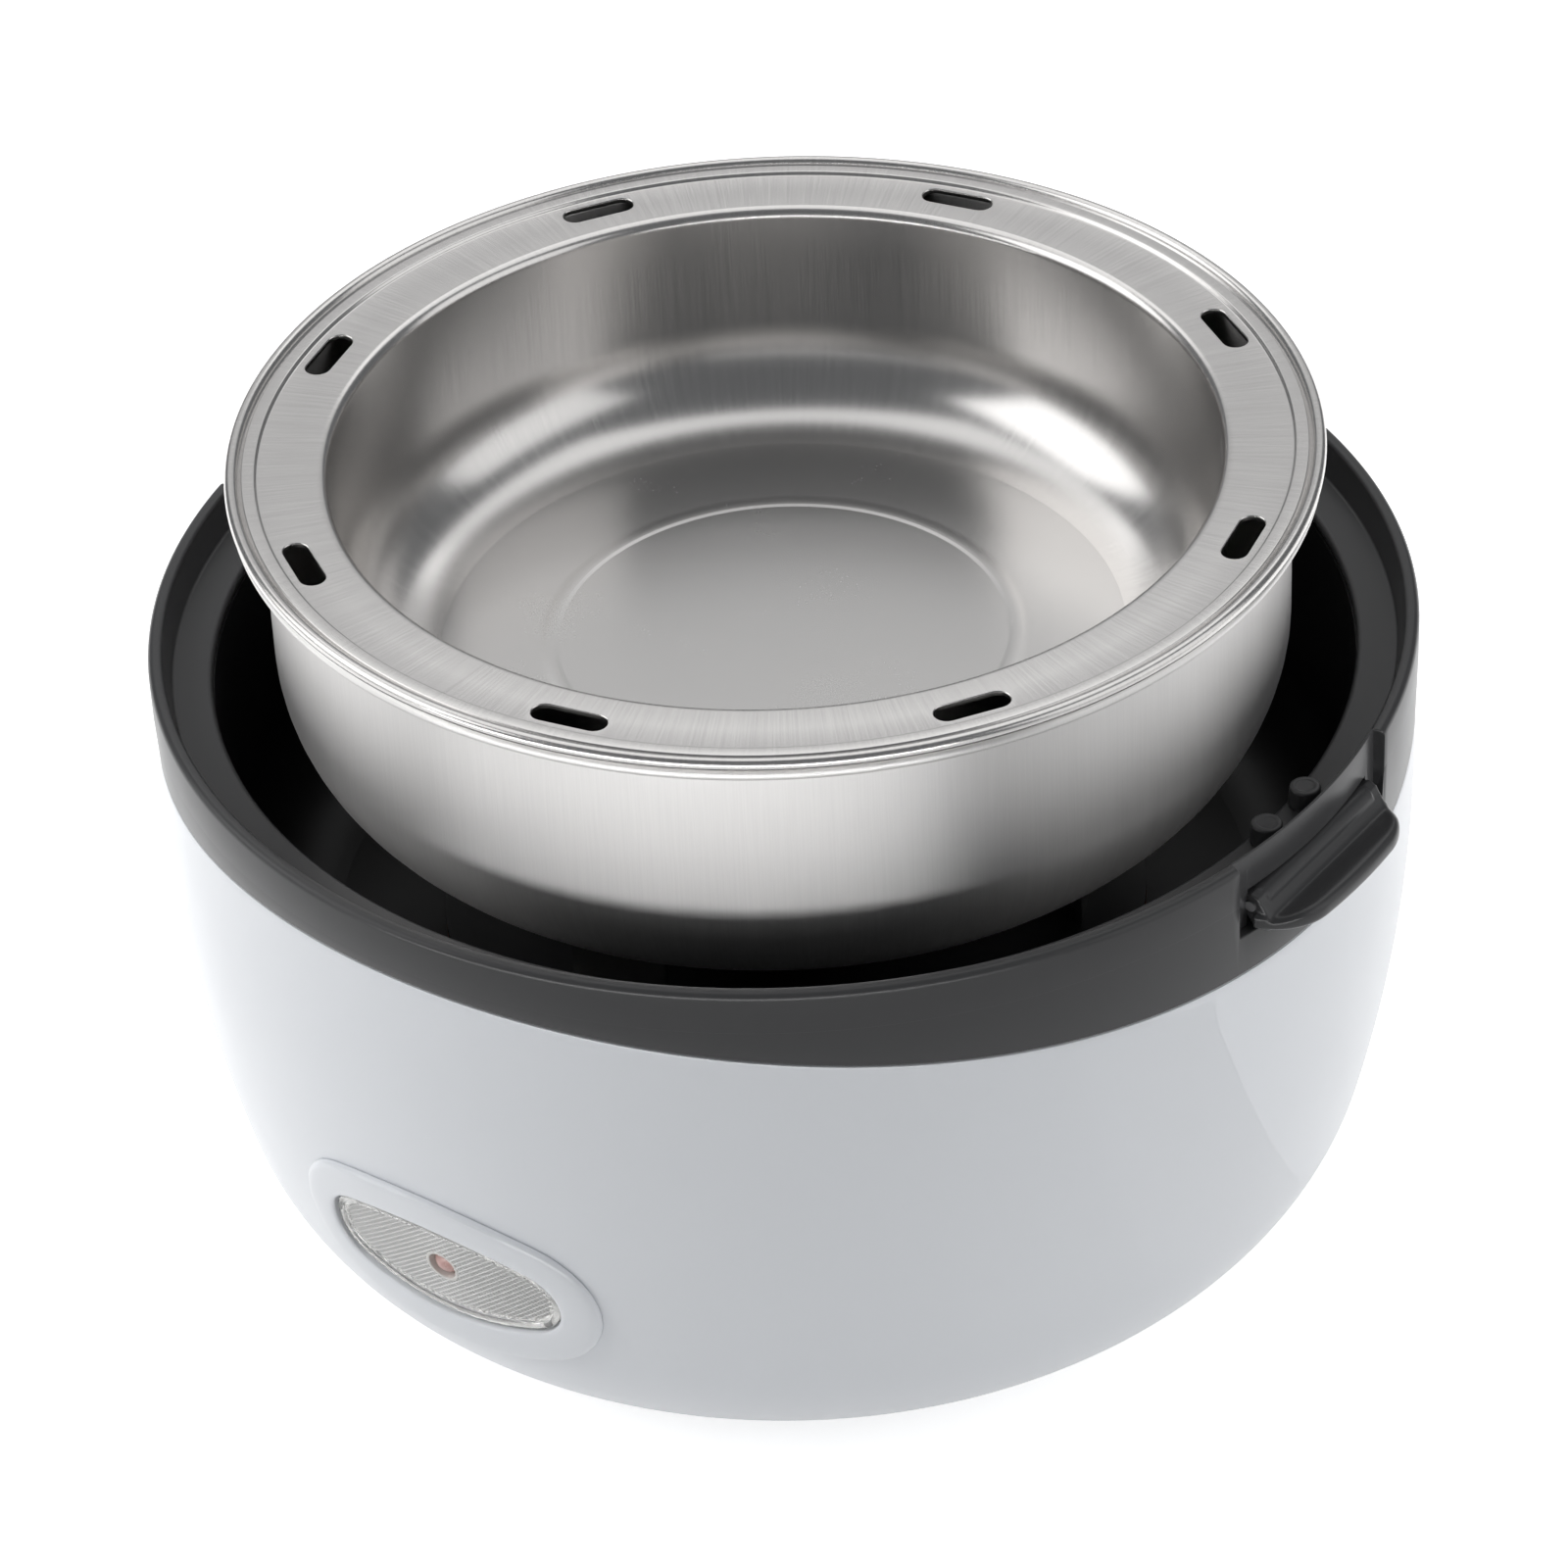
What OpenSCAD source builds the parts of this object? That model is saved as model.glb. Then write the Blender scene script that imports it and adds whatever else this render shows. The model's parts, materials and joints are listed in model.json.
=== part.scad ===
// Electric lunch box: a heated base with a steel bowl and a slotted steam dish stacked in it.
// Millimetres, Z up. The origin is on the table under the middle of the base.
// The indicator faces -Y, the power inlet +Y and the two lid clasps +X and -X.

/* [Collar] */
// Outer diameter of the collar's rim
collar_d = 200; // [180:1:230]
// Height of the collar's rim above the table
rim_z = 108; // [104:1:130]
// Width of the rim, seen from above
rim_w = 3; // [2.5:0.1:4]
// Radius of the rim's outer top edge
rim_edge_r = 1.2; // [0.8:0.1:1.4]
// Drop from the rim to the ledge inside it
ledge_drop = 6; // [5:0.5:8]
// Width of the ledge
ledge_w = 6.8; // [6:0.1:9]
// Thickness of the ledge
ledge_t = 2; // [1.6:0.1:3]
// Drop from the rim to the collar's wavy lower edge at the front and back
wave_drop_front = 9.3; // [8:0.1:11]
// Drop from the rim to the collar's wavy lower edge at the two sides
wave_drop_side = 20.7; // [19:0.1:24]
// Thickness of the tongue that plugs into the housing
tongue_t = 1.8; // [1.2:0.1:2.2]
// Reach of the tongue below the wavy edge's lowest point
tongue_reach = 6; // [4:0.5:10]

/* [Housing] */
// Thickness of the housing's wall
housing_t = 2.5; // [2:0.1:3]
// How far the housing's top stands inside the rim's outer edge
housing_inset = 0.3; // [0.2:0.1:1]
// Radius of the gentle curve of the housing's side
side_curve_r = 237; // [200:1:300]
// Height where the side starts to curve
side_curve_z = 82; // [78:1:84]
// Radius of the housing's bottom corner
corner_r = 31.5; // [28:0.5:34]
// Drop of the feet below the base
foot_drop = 2.5; // [2:0.1:4]

/* [Well] */
// Height of the well's floor above the table
floor_z = 50; // [49:0.5:54]
// Radius of the well's bottom corner
well_corner_r = 16; // [10:1:20]
// Thickness of the well liner
liner_t = 1.8; // [1.4:0.1:2.2]
// Distance of the screw posts inside the base cover's edge
post_inset = 6.2; // [5.7:0.1:7.2]
// Radius of a screw post
post_r = 4; // [3.5:0.1:4]

/* [Heater] */
// Gap between the heating plate and the well's opening
plate_gap = 33.2; // [32.2:0.2:34.2]
// Thickness of the heating plate
plate_t = 1.5; // [1.2:0.1:2.5]
// Thickness of the seal under the heating plate
seal_t = 1; // [0.8:0.1:2]
// Width of the seal's seat on the well's floor
seat_w = 7; // [6:0.5:9]
// Gap between the heater and the opening in the well's floor
heater_gap = 26; // [25:0.5:30]
// Thickness of the heater
heater_h = 8; // [8:0.5:9]
// Radius of the plate's weld studs
stud_r = 2; // [1.5:0.1:2]
// Distance of the weld studs inside the opening in the well's floor
stud_inset = 4; // [3:0.5:5]
// Thickness of the clamp ring and of the heater strap
clamp_t = 1.5; // [1:0.1:1.8]
// Thickness of the nuts on the weld studs
nut_h = 3.2; // [2.6:0.1:3.2]
// Radius of the thermostat's body
thermostat_r = 7.5; // [6:0.1:7.5]
// Radius of the thermal fuse
fuse_r = 2; // [1.5:0.1:2.2]

/* [Steel ware] */
// Gap between the bowl and the well's opening
bowl_gap = 10.2; // [8:0.1:13]
// Height of the bowl up to its rim flange
bowl_h = 52.3; // [50:0.1:70]
// Radius of the bowl's bottom corner
bowl_corner_r = 24; // [16:1:26]
// Thickness of the steel sheet
sheet_t = 0.8; // [0.6:0.1:1]
// Overhang of the bowl's rim beyond its wall
bowl_rim_w = 4.8; // [4.4:0.1:6]
// Radius of the rolled edge of the bowl
bowl_roll_r = 0.9; // [0.7:0.1:1.1]
// Gap for steam between the dish's mouth and the bowl's wall
steam_gap = 10.7; // [9.5:0.1:13]
// Depth of the dish
dish_depth = 35.7; // [26:0.1:40]
// Radius of the dish's bottom corner
dish_corner_r = 14; // [8:1:20]
// Radius of the bend at the dish's mouth
mouth_r = 1.5; // [1.2:0.1:2.5]
// Radius of the rolled edge of the dish
dish_roll_r = 1; // [0.8:0.05:1.1]
// Length of a steam slot
slot_l = 12; // [8:0.5:18]
// Width of a steam slot
slot_w = 4; // [3:0.1:4.4]
// Number of steam slots
slot_count = 8; // [4:1:12]
// Turn of the first steam slot from the right-hand side
slot_turn = 12.4; // [0:0.1:45]
// Radius of the ring embossed in the dish's bottom
emboss_r = 37; // [20:1:45]
// Height of the steam rack
rack_h = 32; // [28:1:40]
// Distance of the steam rack's edge inside the heating plate's edge
rack_inset = 9; // [3:0.5:9]
// Thickness of the steam rack's sheet
rack_t = 1.2; // [1:0.1:1.6]

/* [Clasps] */
// Half width of the recess for a clasp
recess_half_w = 20.7; // [19:0.1:24]
// Depth of the recess behind the rim's outer edge
recess_depth = 1.8; // [1.6:0.1:2]
// Distance of a clasp's hinge line from the middle of the base, inside the rim's outer edge
hinge_inset = 2.6; // [2.5:0.1:3]
// Drop of a clasp's hinge line below the rim
hinge_drop = 9.2; // [9:0.1:10]
// Radius of a clasp's barrel
barrel_r = 2.2; // [2:0.1:2.2]
// Half length of a clasp's barrel
barrel_half_l = 14.2; // [12:0.1:15]
// Radius of a clasp's pin
clasp_pin_r = 0.9; // [0.7:0.05:1]
// Length of the knuckles beside the barrel
knuckle_l = 2.8; // [2:0.1:3]
// Reach of a clasp beyond the rim's outer edge
clasp_reach = 6.8; // [6:0.1:9]
// Half width of a clasp
clasp_half_w = 17.6; // [17.4:0.1:18.4]
// Radius of a clasp's outer corners
clasp_corner_r = 10; // [6:0.5:11]
// Thickness of a clasp at its outer edge
clasp_t = 3; // [2.4:0.1:3]
// Rise of a clasp's top face towards its outer edge
clasp_rise = 0.8; // [0.4:0.1:1]
// Radius of the studs on the ledge beside each clasp
peg_r = 2.4; // [1.5:0.1:2.6]
// Height of those studs
peg_h = 3.5; // [3:0.1:5.5]
// Half distance between the two studs of a pair
peg_half_gap = 5.5; // [3.5:0.1:8]

/* [Indicator] */
// Height of the indicator's middle
lens_z = 39.5; // [38.5:0.5:41]
// Length of the lens
lens_l = 43.5; // [40:0.5:46]
// Height of the lens
lens_h = 19.2; // [17.2:0.5:20.2]
// Radius of the lens's ends
lens_end_r = 5; // [4:0.1:6]
// Thickness of the lens
lens_t = 2; // [1.5:0.1:2.4]
// Depth of the lens behind the bezel's face
lens_recess = 1.6; // [1.2:0.1:1.8]
// Width of the bezel around the lens
bezel_w = 6.3; // [5.5:0.1:7]
// Height of the bezel above the housing
bezel_rise = 1; // [0.6:0.1:2]
// Radius of the bezel's front face
bezel_face_r = 110; // [100:5:150]
// Radius of the lamp
lamp_r = 2.5; // [1.5:0.1:2.5]
// Length of the lamp
lamp_l = 8; // [6:0.5:10]

/* [Power inlet] */
// Height of the inlet's middle
inlet_z = 33.5; // [32.5:0.5:34]
// Distance of the inlet's seat inside the rim's outer edge
inlet_inset = 14; // [13:0.5:15]
// Width of the inlet's body
inlet_w = 27.6; // [27:0.1:28]
// Height of the inlet's body
inlet_h = 20.6; // [20:0.1:21]
// Width of the inlet's flange
flange_w = 48; // [46:0.5:49]
// Height of the inlet's flange
flange_h = 22; // [21.6:0.1:22.4]
// Thickness of the inlet's flange
flange_t = 2.5; // [2:0.1:3]
// Depth of the inlet's socket behind its flange
socket_depth = 14; // [12:0.5:15]
// Distance between the inlet's two screws
inlet_screw_gap = 40; // [38:0.5:41]

/* [Base cover and feet] */
// Reach of the base cover beyond the start of the round bottom corner
cover_reach = 7.2; // [7.2:0.1:8.5]
// Thickness of the base cover
cover_t = 2.6; // [2:0.1:3]
// Radius of a foot
foot_r = 6.5; // [5:0.5:7]
// Distance of the feet inside the base cover's edge
foot_inset = 11.7; // [9.7:0.1:18.7]
// Number of vent slots on each side of the base cover
vent_count = 5; // [3:1:6]

/* [Fits] */
// Clearance between pieces that are pushed together
fit_gap = 0.2; // [0.1:0.05:0.3]
// Gap under a piece that only rests on its seat
seat_gap = 0.1; // [0.05:0.05:0.2]
// Clearance round a piece that swings
swing_gap = 0.3; // [0.2:0.05:0.4]
// Clearance between a clasp's pin and its bore
pin_gap = 0.05; // [0.02:0.01:0.1]

/* [Hidden] */
$fn = 120;
small_fn = 48;

// Radii, from the rim inwards
collar_r = collar_d / 2;
ledge_r = collar_r - rim_w;
well_r = ledge_r - ledge_w;
body_r = collar_r - housing_inset;
inner_r = body_r - housing_t;
tongue_r = inner_r - fit_gap;
liner_r = well_r + liner_t;

// Heights of the collar
ledge_z = rim_z - ledge_drop;
ledge_under_z = ledge_z - ledge_t;
wave_front_z = rim_z - wave_drop_front;
wave_side_z = rim_z - wave_drop_side;
wave_rise = wave_front_z - wave_side_z;
wave_r = (body_r * body_r + wave_rise * wave_rise) / (2 * wave_rise);
tongue_z = wave_side_z - tongue_reach;

// The housing's outline: a straight top, a gentle side and a round corner that meet smoothly
base_z = foot_drop;
corner_z = base_z + corner_r;
side_x = body_r - side_curve_r;
arc_gap = side_curve_r - corner_r;
corner_x = side_x + sqrt(arc_gap * arc_gap - pow(side_curve_z - corner_z, 2));
meet_sin = (corner_z - side_curve_z) / arc_gap;
cover_r = corner_x + cover_reach;
post_ring_r = cover_r - post_inset;
foot_ring_r = cover_r - foot_inset;
function meet_z(inset) = corner_z + (corner_r - inset) * meet_sin;
function housing_r_at(z) = side_x + sqrt(side_curve_r * side_curve_r - pow(z - side_curve_z, 2));

// Heights of the well and the heater
liner_under_z = floor_z - liner_t;
plate_under_z = floor_z + seal_t;
plate_top_z = plate_under_z + plate_t;
plate_r = well_r - plate_gap;
opening_r = plate_r - seat_w;
heater_r = opening_r - heater_gap;
stud_ring_r = opening_r - stud_inset;
clamp_z = liner_under_z - clamp_t - seat_gap;
upper_nut_z = clamp_z - nut_h;
strap_z = plate_under_z - heater_h - clamp_t;
lower_nut_z = strap_z - nut_h;
stud_end_z = lower_nut_z - 1.2;
clamp_w = 13;
strap_w = 10;
strap_overhang = 6;
nut_corner_r = 4.05;

// Ears that hold the liner to the collar
skirt_r = tongue_r - 0.5;
ear_ring_r = liner_r + 2.3;
ear_r = 2.9;
ear_t = 1.8;
collar_boss_r = 2.1;
collar_boss_h = 4.2;
ear_top_z = ledge_under_z - collar_boss_h - seat_gap;
ear_z = ear_top_z - ear_t;
collar_screw_r = 1.1;
collar_screw_l = 5.2;
collar_head_r = 1.9;
collar_head_h = 1.6;

// Thermostat, fuse and their screws under the plate
flange_sheet_t = 0.8;
thermostat_ring_r = heater_r + 9.5;
thermostat_turn = 135;
thermostat_h = 9.2;
thermostat_hole_gap = 10;
fuse_ring_r = heater_r + 10;
fuse_turn = 45;
fuse_half_l = 7;
fuse_lead_r = 0.5;
fuse_lead_l = 12;
fuse_z = plate_under_z - fuse_r - seat_gap;
clip_l = 5;
clip_half_w = 5;
clip_hole_x = 7.5;
plate_screw_r = 1.3;
plate_screw_head_r = 2.3;
plate_screw_head_h = 1.6;
plate_hole_depth = plate_t * 0.7;

// Clasps: the right-hand one, with its hinge line along Y
hinge_x = collar_r - hinge_inset;
hinge_z = rim_z - hinge_drop;
recess_r = collar_r - recess_depth;
knuckle_y = barrel_half_l + swing_gap;
pin_half_l = knuckle_y + knuckle_l;
clasp_r = collar_r + clasp_reach;
clasp_top_z = hinge_z - 1.2;
clasp_edge_z = clasp_top_z + clasp_rise;
clasp_under_z = clasp_edge_z - clasp_t;
shelf_z = clasp_under_z - swing_gap;
slot_top_z = hinge_z + barrel_r + swing_gap;
slot_x = hinge_x - barrel_r - swing_gap;
pocket_wall_t = 1.3;
root_x = hinge_x + 0.8;
valley_x = hinge_x + barrel_r + 0.9;
clasp_edge_r = 0.8;
peg_ring_r = (ledge_r + well_r) / 2 - 0.4;
peg_edge_r = 0.6;

// Indicator
lens_r = housing_r_at(lens_z);
lens_tilt = asin((side_curve_z - lens_z) / side_curve_r);
plug_w = 2;
plug_depth = housing_t + 0.8;
bezel_l = lens_l + 2 * bezel_w;
bezel_h = lens_h + 2 * bezel_w;
lens_flange_w = 1.2;
lens_wall_t = 1.5;
lens_flange_t = 1.2;
lens_flange_z = -plug_depth - seat_gap;
lamp_tip = bezel_rise - lens_recess - lens_t - 0.4;
holder_r = lamp_r + 1.5;
holder_pad_w = 5;
holder_pad_t = 1.2;
holder_drop = 0.8;

// Power inlet
inlet_y = collar_r - inlet_inset;
inlet_body_l = 16;
inlet_wall_t = 1.6;
pocket_gap = 0.5;
pocket_wall = 2.5;
contact_gap = 7;
contact_drop = 2;
earth_rise = 4;
contact_w = 2;
contact_h = 4;
earth_turn_w = 4;
tab_l = 8;
tab_t = 0.8;
tab_w = 5;
contact_end_y = inlet_y - 2;
inlet_back_y = inlet_y - inlet_body_l;
tab_end_y = inlet_back_y - tab_l;
inlet_screw_r = 1.5;
inlet_head_r = 2.8;
inlet_head_h = 1.8;
inlet_nut_h = 2.4;
inlet_nut_r = 3.2;
inlet_screw_l = 10;
live_z = inlet_z - contact_drop;
earth_z = inlet_z + earth_rise;

// Base cover
cover_top_z = base_z + cover_t;
landing_r = cover_r - 1.2;
lip_w = 3;
lip_t = 2.4;
cover_boss_h = 6.5;
cover_boss_r = 4.4;
base_head_r = 3;
base_head_h = 2;
base_screw_r = 1.4;
base_screw_l = 12;
head_seat_z = base_z + cover_boss_h - 2.4;
post_z = base_z + cover_boss_h + fit_gap;
foot_pocket = 0.8;
foot_stem_r = 2.2;
foot_barb_r = 2.9;
foot_stem_l = 4;
vent_w = 3;
vent_l = 26;
vent_gap = 7;

// Steel ware
rack_r = plate_r - rack_inset;
rack_top_z = plate_top_z + seat_gap + rack_h;
bowl_r = well_r - bowl_gap;
bowl_z = rack_top_z + seat_gap;
bowl_rim_z = bowl_z + bowl_h;
bowl_rim_r = bowl_r + bowl_rim_w;
roll_x = bowl_rim_r - bowl_roll_r;
dish_r = bowl_r - steam_gap;
dish_flange_z = bowl_rim_z + seat_gap;
dish_top_z = dish_flange_z + sheet_t;
dish_rim_r = bowl_rim_r + 0.4;
dish_roll_x = dish_rim_r - dish_roll_r;
dish_step_r = bowl_r + 0.3;
dish_step_w = 2.3;
dish_step_h = 0.6;
dish_floor_z = dish_top_z - dish_depth;
slot_ring_r = (dish_r + bowl_r - sheet_t) / 2 + 2.6;
emboss_w = 2;
emboss_h = 0.35;
rack_hole_r = 2.6;
rack_hole_step = 13;
rack_leg_turn = 11;
rack_lip_h = 5;

// Wires
bend_extra = 0.06;
wire_fn = 12;
wire_r = 1.1;
lead_r = 0.7;
wire_stub = 4;
lead_stub = 2.5;
wire_run_z = 33;
wire_ring_r = opening_r - 1.6;
lead_ring_r = opening_r + 2;
lead_apart = 1.2;
tab_apart = 2.8;
heater_tab_x = 6;
link_rise = 4;

// ---------- shared shapes ----------

// Ring with a rectangular section
module ring(outer, inner, z, h) {
    difference() {
        translate([0, 0, z]) cylinder(r = outer, h = h);
        translate([0, 0, z - 1]) cylinder(r = inner, h = h + 2);
    }
}

// Half outline of a round vessel with a straight side and a round bottom corner
module vessel_outline(r, z, top, edge_r) {
    translate([0, z + edge_r]) square([r, top - z - edge_r]);
    translate([0, z]) square([r - edge_r, edge_r + 1]);
    intersection() {
        translate([r - edge_r, z + edge_r]) circle(edge_r);
        translate([r - edge_r, z]) square([edge_r, edge_r + 1]);
    }
}

// Solid of the housing's outer shape, or of its hollow where inset is the wall
module housing_solid(inset, top) {
    rotate_extrude() {
        translate([0, side_curve_z]) square([body_r - inset, top - side_curve_z]);
        intersection() {
            translate([side_x, side_curve_z]) circle(side_curve_r - inset, $fn = 360);
            translate([0, meet_z(inset)]) square([body_r, side_curve_z - meet_z(inset)]);
        }
        intersection() {
            translate([corner_x, corner_z]) circle(corner_r - inset);
            translate([corner_x, base_z]) square([corner_r, meet_z(inset) - base_z]);
        }
        translate([0, base_z + inset]) square([corner_x, meet_z(inset) - base_z - inset]);
    }
}

// Solid of the housing's gently curved side alone, carried on below the round corner
module side_solid() {
    rotate_extrude() intersection() {
        translate([side_x, side_curve_z]) circle(side_curve_r, $fn = 360);
        translate([0, base_z]) square([body_r, side_curve_z - base_z]);
    }
}

// Big lying cylinder whose underside is the wavy edge between collar and housing
module wave_solid(gap) {
    translate([0, 0, wave_side_z + wave_r])
        rotate([0, 90, 0])
            cylinder(r = wave_r + gap, h = 3 * collar_r, center = true, $fn = 360);
}

// Oval made of two long arcs and two round ends
module oval(l, h, end_r) {
    end_x = l / 2 - end_r;
    arc_y = (end_x * end_x - pow(h / 2 - end_r, 2)) / (h - 2 * end_r);
    arc_r = arc_y + h / 2;
    meet_x = end_x * arc_r / (arc_r - end_r);
    intersection() {
        translate([0, -arc_y]) circle(arc_r, $fn = 240);
        translate([0, arc_y]) circle(arc_r, $fn = 240);
        square([2 * meet_x, h], center = true);
    }
    for (side = [-1, 1])
        translate([side * end_x, 0]) circle(end_r, $fn = small_fn);
}

// Frame of the indicator: local Z points out of the housing, local Y up along it
module at_lens() {
    translate([0, -lens_r, lens_z]) rotate([90 + lens_tilt, 0, 0]) children();
}

// Frame of the inlet: local Z points out of the back, local X along the flange
module at_inlet() {
    translate([0, inlet_y, inlet_z]) rotate([-90, 0, 0]) children();
}

// Child repeated round the middle
module around(count, r, turn = 0) {
    for (i = [0 : count - 1])
        rotate([0, 0, turn + i * 360 / count])
            translate([r, 0, 0])
                children();
}

// Hexagon nut with its bore
module nut(corner, bore, h) {
    difference() {
        cylinder(r = corner, h = h, $fn = 6);
        translate([0, 0, -1]) cylinder(r = bore, h = h + 2, $fn = small_fn);
    }
}

// Screw with a low round head under its shank; the shank points up from z = 0
module screw(shank_r, shank_l, head_r, head_h) {
    difference() {
        union() {
            cylinder(r = shank_r, h = shank_l, $fn = small_fn);
            translate([0, 0, -head_h]) cylinder(r = head_r, h = head_h, $fn = small_fn);
        }
        for (turn = [0, 90])
            rotate([0, 0, turn])
                translate([-head_r * 0.6, -0.3, -head_h - 1])
                    cube([head_r * 1.2, 0.6, 1 + head_h / 2]);
    }
}

// Wire along a list of points, with a slightly thicker ball at each bend
module wire(path, r) {
    for (i = [0 : len(path) - 2]) {
        step = path[i + 1] - path[i];
        length = norm(step);
        translate(path[i])
            rotate([0, acos(step[2] / length), atan2(step[1], step[0])])
                cylinder(r = r, h = length, $fn = wire_fn);
    }
    for (i = [1 : len(path) - 2])
        translate(path[i]) sphere(r = r + bend_extra, $fn = wire_fn);
}

// ---------- body ----------

module housing() {
    color([0.94, 0.95, 0.96]) difference() {
        housing_solid(0, rim_z);
        difference() {
            housing_solid(housing_t, rim_z + 1);
            // Landing for the base cover
            ring(cover_r + lip_w, landing_r, base_z, cover_t + fit_gap + lip_t);
            // Walls of the pocket behind the inlet
            translate([-pocket_x() - pocket_wall, inlet_y - pocket_wall, pocket_z() - pocket_wall])
                cube([2 * (pocket_x() + pocket_wall), 20, pocket_h() + 2 * pocket_wall]);
        }
        wave_solid(fit_gap);
        translate([0, 0, base_z - 1]) cylinder(r = cover_r + fit_gap, h = cover_t + fit_gap + 1);
        translate([0, 0, base_z]) cylinder(r = landing_r, h = cover_t + lip_t + 1);
        translate([-pocket_x(), inlet_y, pocket_z()]) cube([2 * pocket_x(), 20, pocket_h()]);
        at_inlet() inlet_openings();
        at_lens() translate([0, 0, -12]) linear_extrude(20)
            oval(lens_l + 2 * plug_w + 2 * fit_gap, lens_h + 2 * plug_w + 2 * fit_gap,
                lens_end_r + plug_w + fit_gap);
    }
}

function pocket_x() = flange_w / 2 + pocket_gap;
function pocket_z() = inlet_z - flange_h / 2 - pocket_gap;
function pocket_h() = flange_h + 2 * pocket_gap;

// Openings in the seat for the inlet's body and its two screws
module inlet_openings() {
    translate([-inlet_w / 2 - fit_gap, -inlet_h / 2 - fit_gap, -10])
        cube([inlet_w + 2 * fit_gap, inlet_h + 2 * fit_gap, 11]);
    for (side = [-1, 1])
        translate([side * inlet_screw_gap / 2, 0, -10])
            cylinder(r = inlet_screw_r + fit_gap, h = 11, $fn = small_fn);
}

// Half section of the rim and the ledge
module rim_outline() {
    translate([ledge_r, ledge_under_z]) square([rim_w, ledge_drop + ledge_t - rim_edge_r]);
    translate([ledge_r + rim_edge_r, rim_z - rim_edge_r - 1])
        square([rim_w - 2 * rim_edge_r, rim_edge_r + 1]);
    for (x = [ledge_r + rim_edge_r, collar_r - rim_edge_r])
        translate([x, rim_z - rim_edge_r]) circle(rim_edge_r, $fn = small_fn);
    translate([well_r + ledge_t / 2, ledge_under_z]) square([ledge_w, ledge_t]);
    translate([well_r + ledge_t / 2, ledge_z - ledge_t / 2]) circle(ledge_t / 2, $fn = small_fn);
}

module collar() {
    color([0.27, 0.27, 0.28]) difference() {
        union() {
            difference() {
                union() {
                    rotate_extrude() rim_outline();
                    intersection() {
                        wave_solid(0);
                        difference() {
                            translate([0, 0, tongue_z])
                                cylinder(r1 = body_r, r2 = collar_r, h = ledge_z - tongue_z);
                            translate([0, 0, tongue_z - 1]) cylinder(r = skirt_r, h = 60);
                        }
                    }
                    collar_tongue();
                    for (side = [0, 180]) rotate([0, 0, side]) pocket_back();
                }
                for (side = [0, 180]) rotate([0, 0, side]) clasp_recess();
            }
            for (side = [0, 180]) rotate([0, 0, side]) knuckles();
            for (side = [0, 180]) rotate([0, 0, side]) pegs();
            around(4, ear_ring_r, 45)
                translate([0, 0, ledge_under_z - collar_boss_h])
                    cylinder(r = collar_boss_r, h = collar_boss_h + 0.5, $fn = small_fn);
        }
        around(4, ear_ring_r, 45)
            translate([0, 0, ear_z - 1])
                cylinder(r = collar_screw_r, h = collar_screw_l + 0.4, $fn = small_fn);
        for (side = [0, 180]) rotate([0, 0, side])
            translate([hinge_x, 0, hinge_z])
                rotate([90, 0, 0])
                    cylinder(r = clasp_pin_r, h = 2 * pin_half_l, center = true, $fn = small_fn);
    }
}

// Tongue inside the housing, notched where the liner's ears pass
module collar_tongue() {
    difference() {
        ring(tongue_r, tongue_r - tongue_t, tongue_z, ledge_z - 1 - tongue_z);
        around(4, ear_ring_r, 45)
            translate([0, 0, tongue_z - 1])
                cylinder(r = ear_r + 0.9, h = ear_top_z + seat_gap - tongue_z + 1, $fn = small_fn);
    }
}

// Wall that closes the pocket behind a clasp's barrel
module pocket_back() {
    intersection() {
        translate([slot_x - pocket_wall_t, -knuckle_y - knuckle_l, shelf_z - 3])
            cube([5, 2 * (knuckle_y + knuckle_l), ledge_z - 1 - shelf_z + 3]);
        cylinder(r = tongue_r, h = rim_z);
    }
}

// Recess for a clasp: a shallow step open at the top, and a slot for the barrel
module clasp_recess() {
    difference() {
        translate([hinge_x - 8, -recess_half_w, shelf_z]) cube([30, 2 * recess_half_w, 30]);
        cylinder(r = recess_r, h = 2 * rim_z);
    }
    translate([slot_x, -knuckle_y, hinge_z - barrel_r - swing_gap])
        cube([30, 2 * knuckle_y, slot_top_z - hinge_z + barrel_r + swing_gap]);
    translate([hinge_x - 1.2, -knuckle_y, shelf_z]) cube([30, 2 * knuckle_y, slot_top_z - shelf_z]);
}

// Two knuckles that carry a clasp's pin
module knuckles() {
    for (side = [-1, 1])
        translate([hinge_x, side * (knuckle_y + knuckle_l / 2), hinge_z])
            rotate([90, 0, 0])
                cylinder(r = barrel_r, h = knuckle_l, center = true, $fn = small_fn);
}

// Two round studs on the ledge beside a clasp
module pegs() {
    for (side = [-1, 1])
        translate([peg_ring_r, side * peg_half_gap, ledge_z - 0.5]) rotate_extrude($fn = small_fn) {
            square([peg_r, peg_h + 0.5 - peg_edge_r]);
            square([peg_r - peg_edge_r, peg_h + 0.5]);
            translate([peg_r - peg_edge_r, peg_h + 0.5 - peg_edge_r]) circle(peg_edge_r);
        }
}

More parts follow.
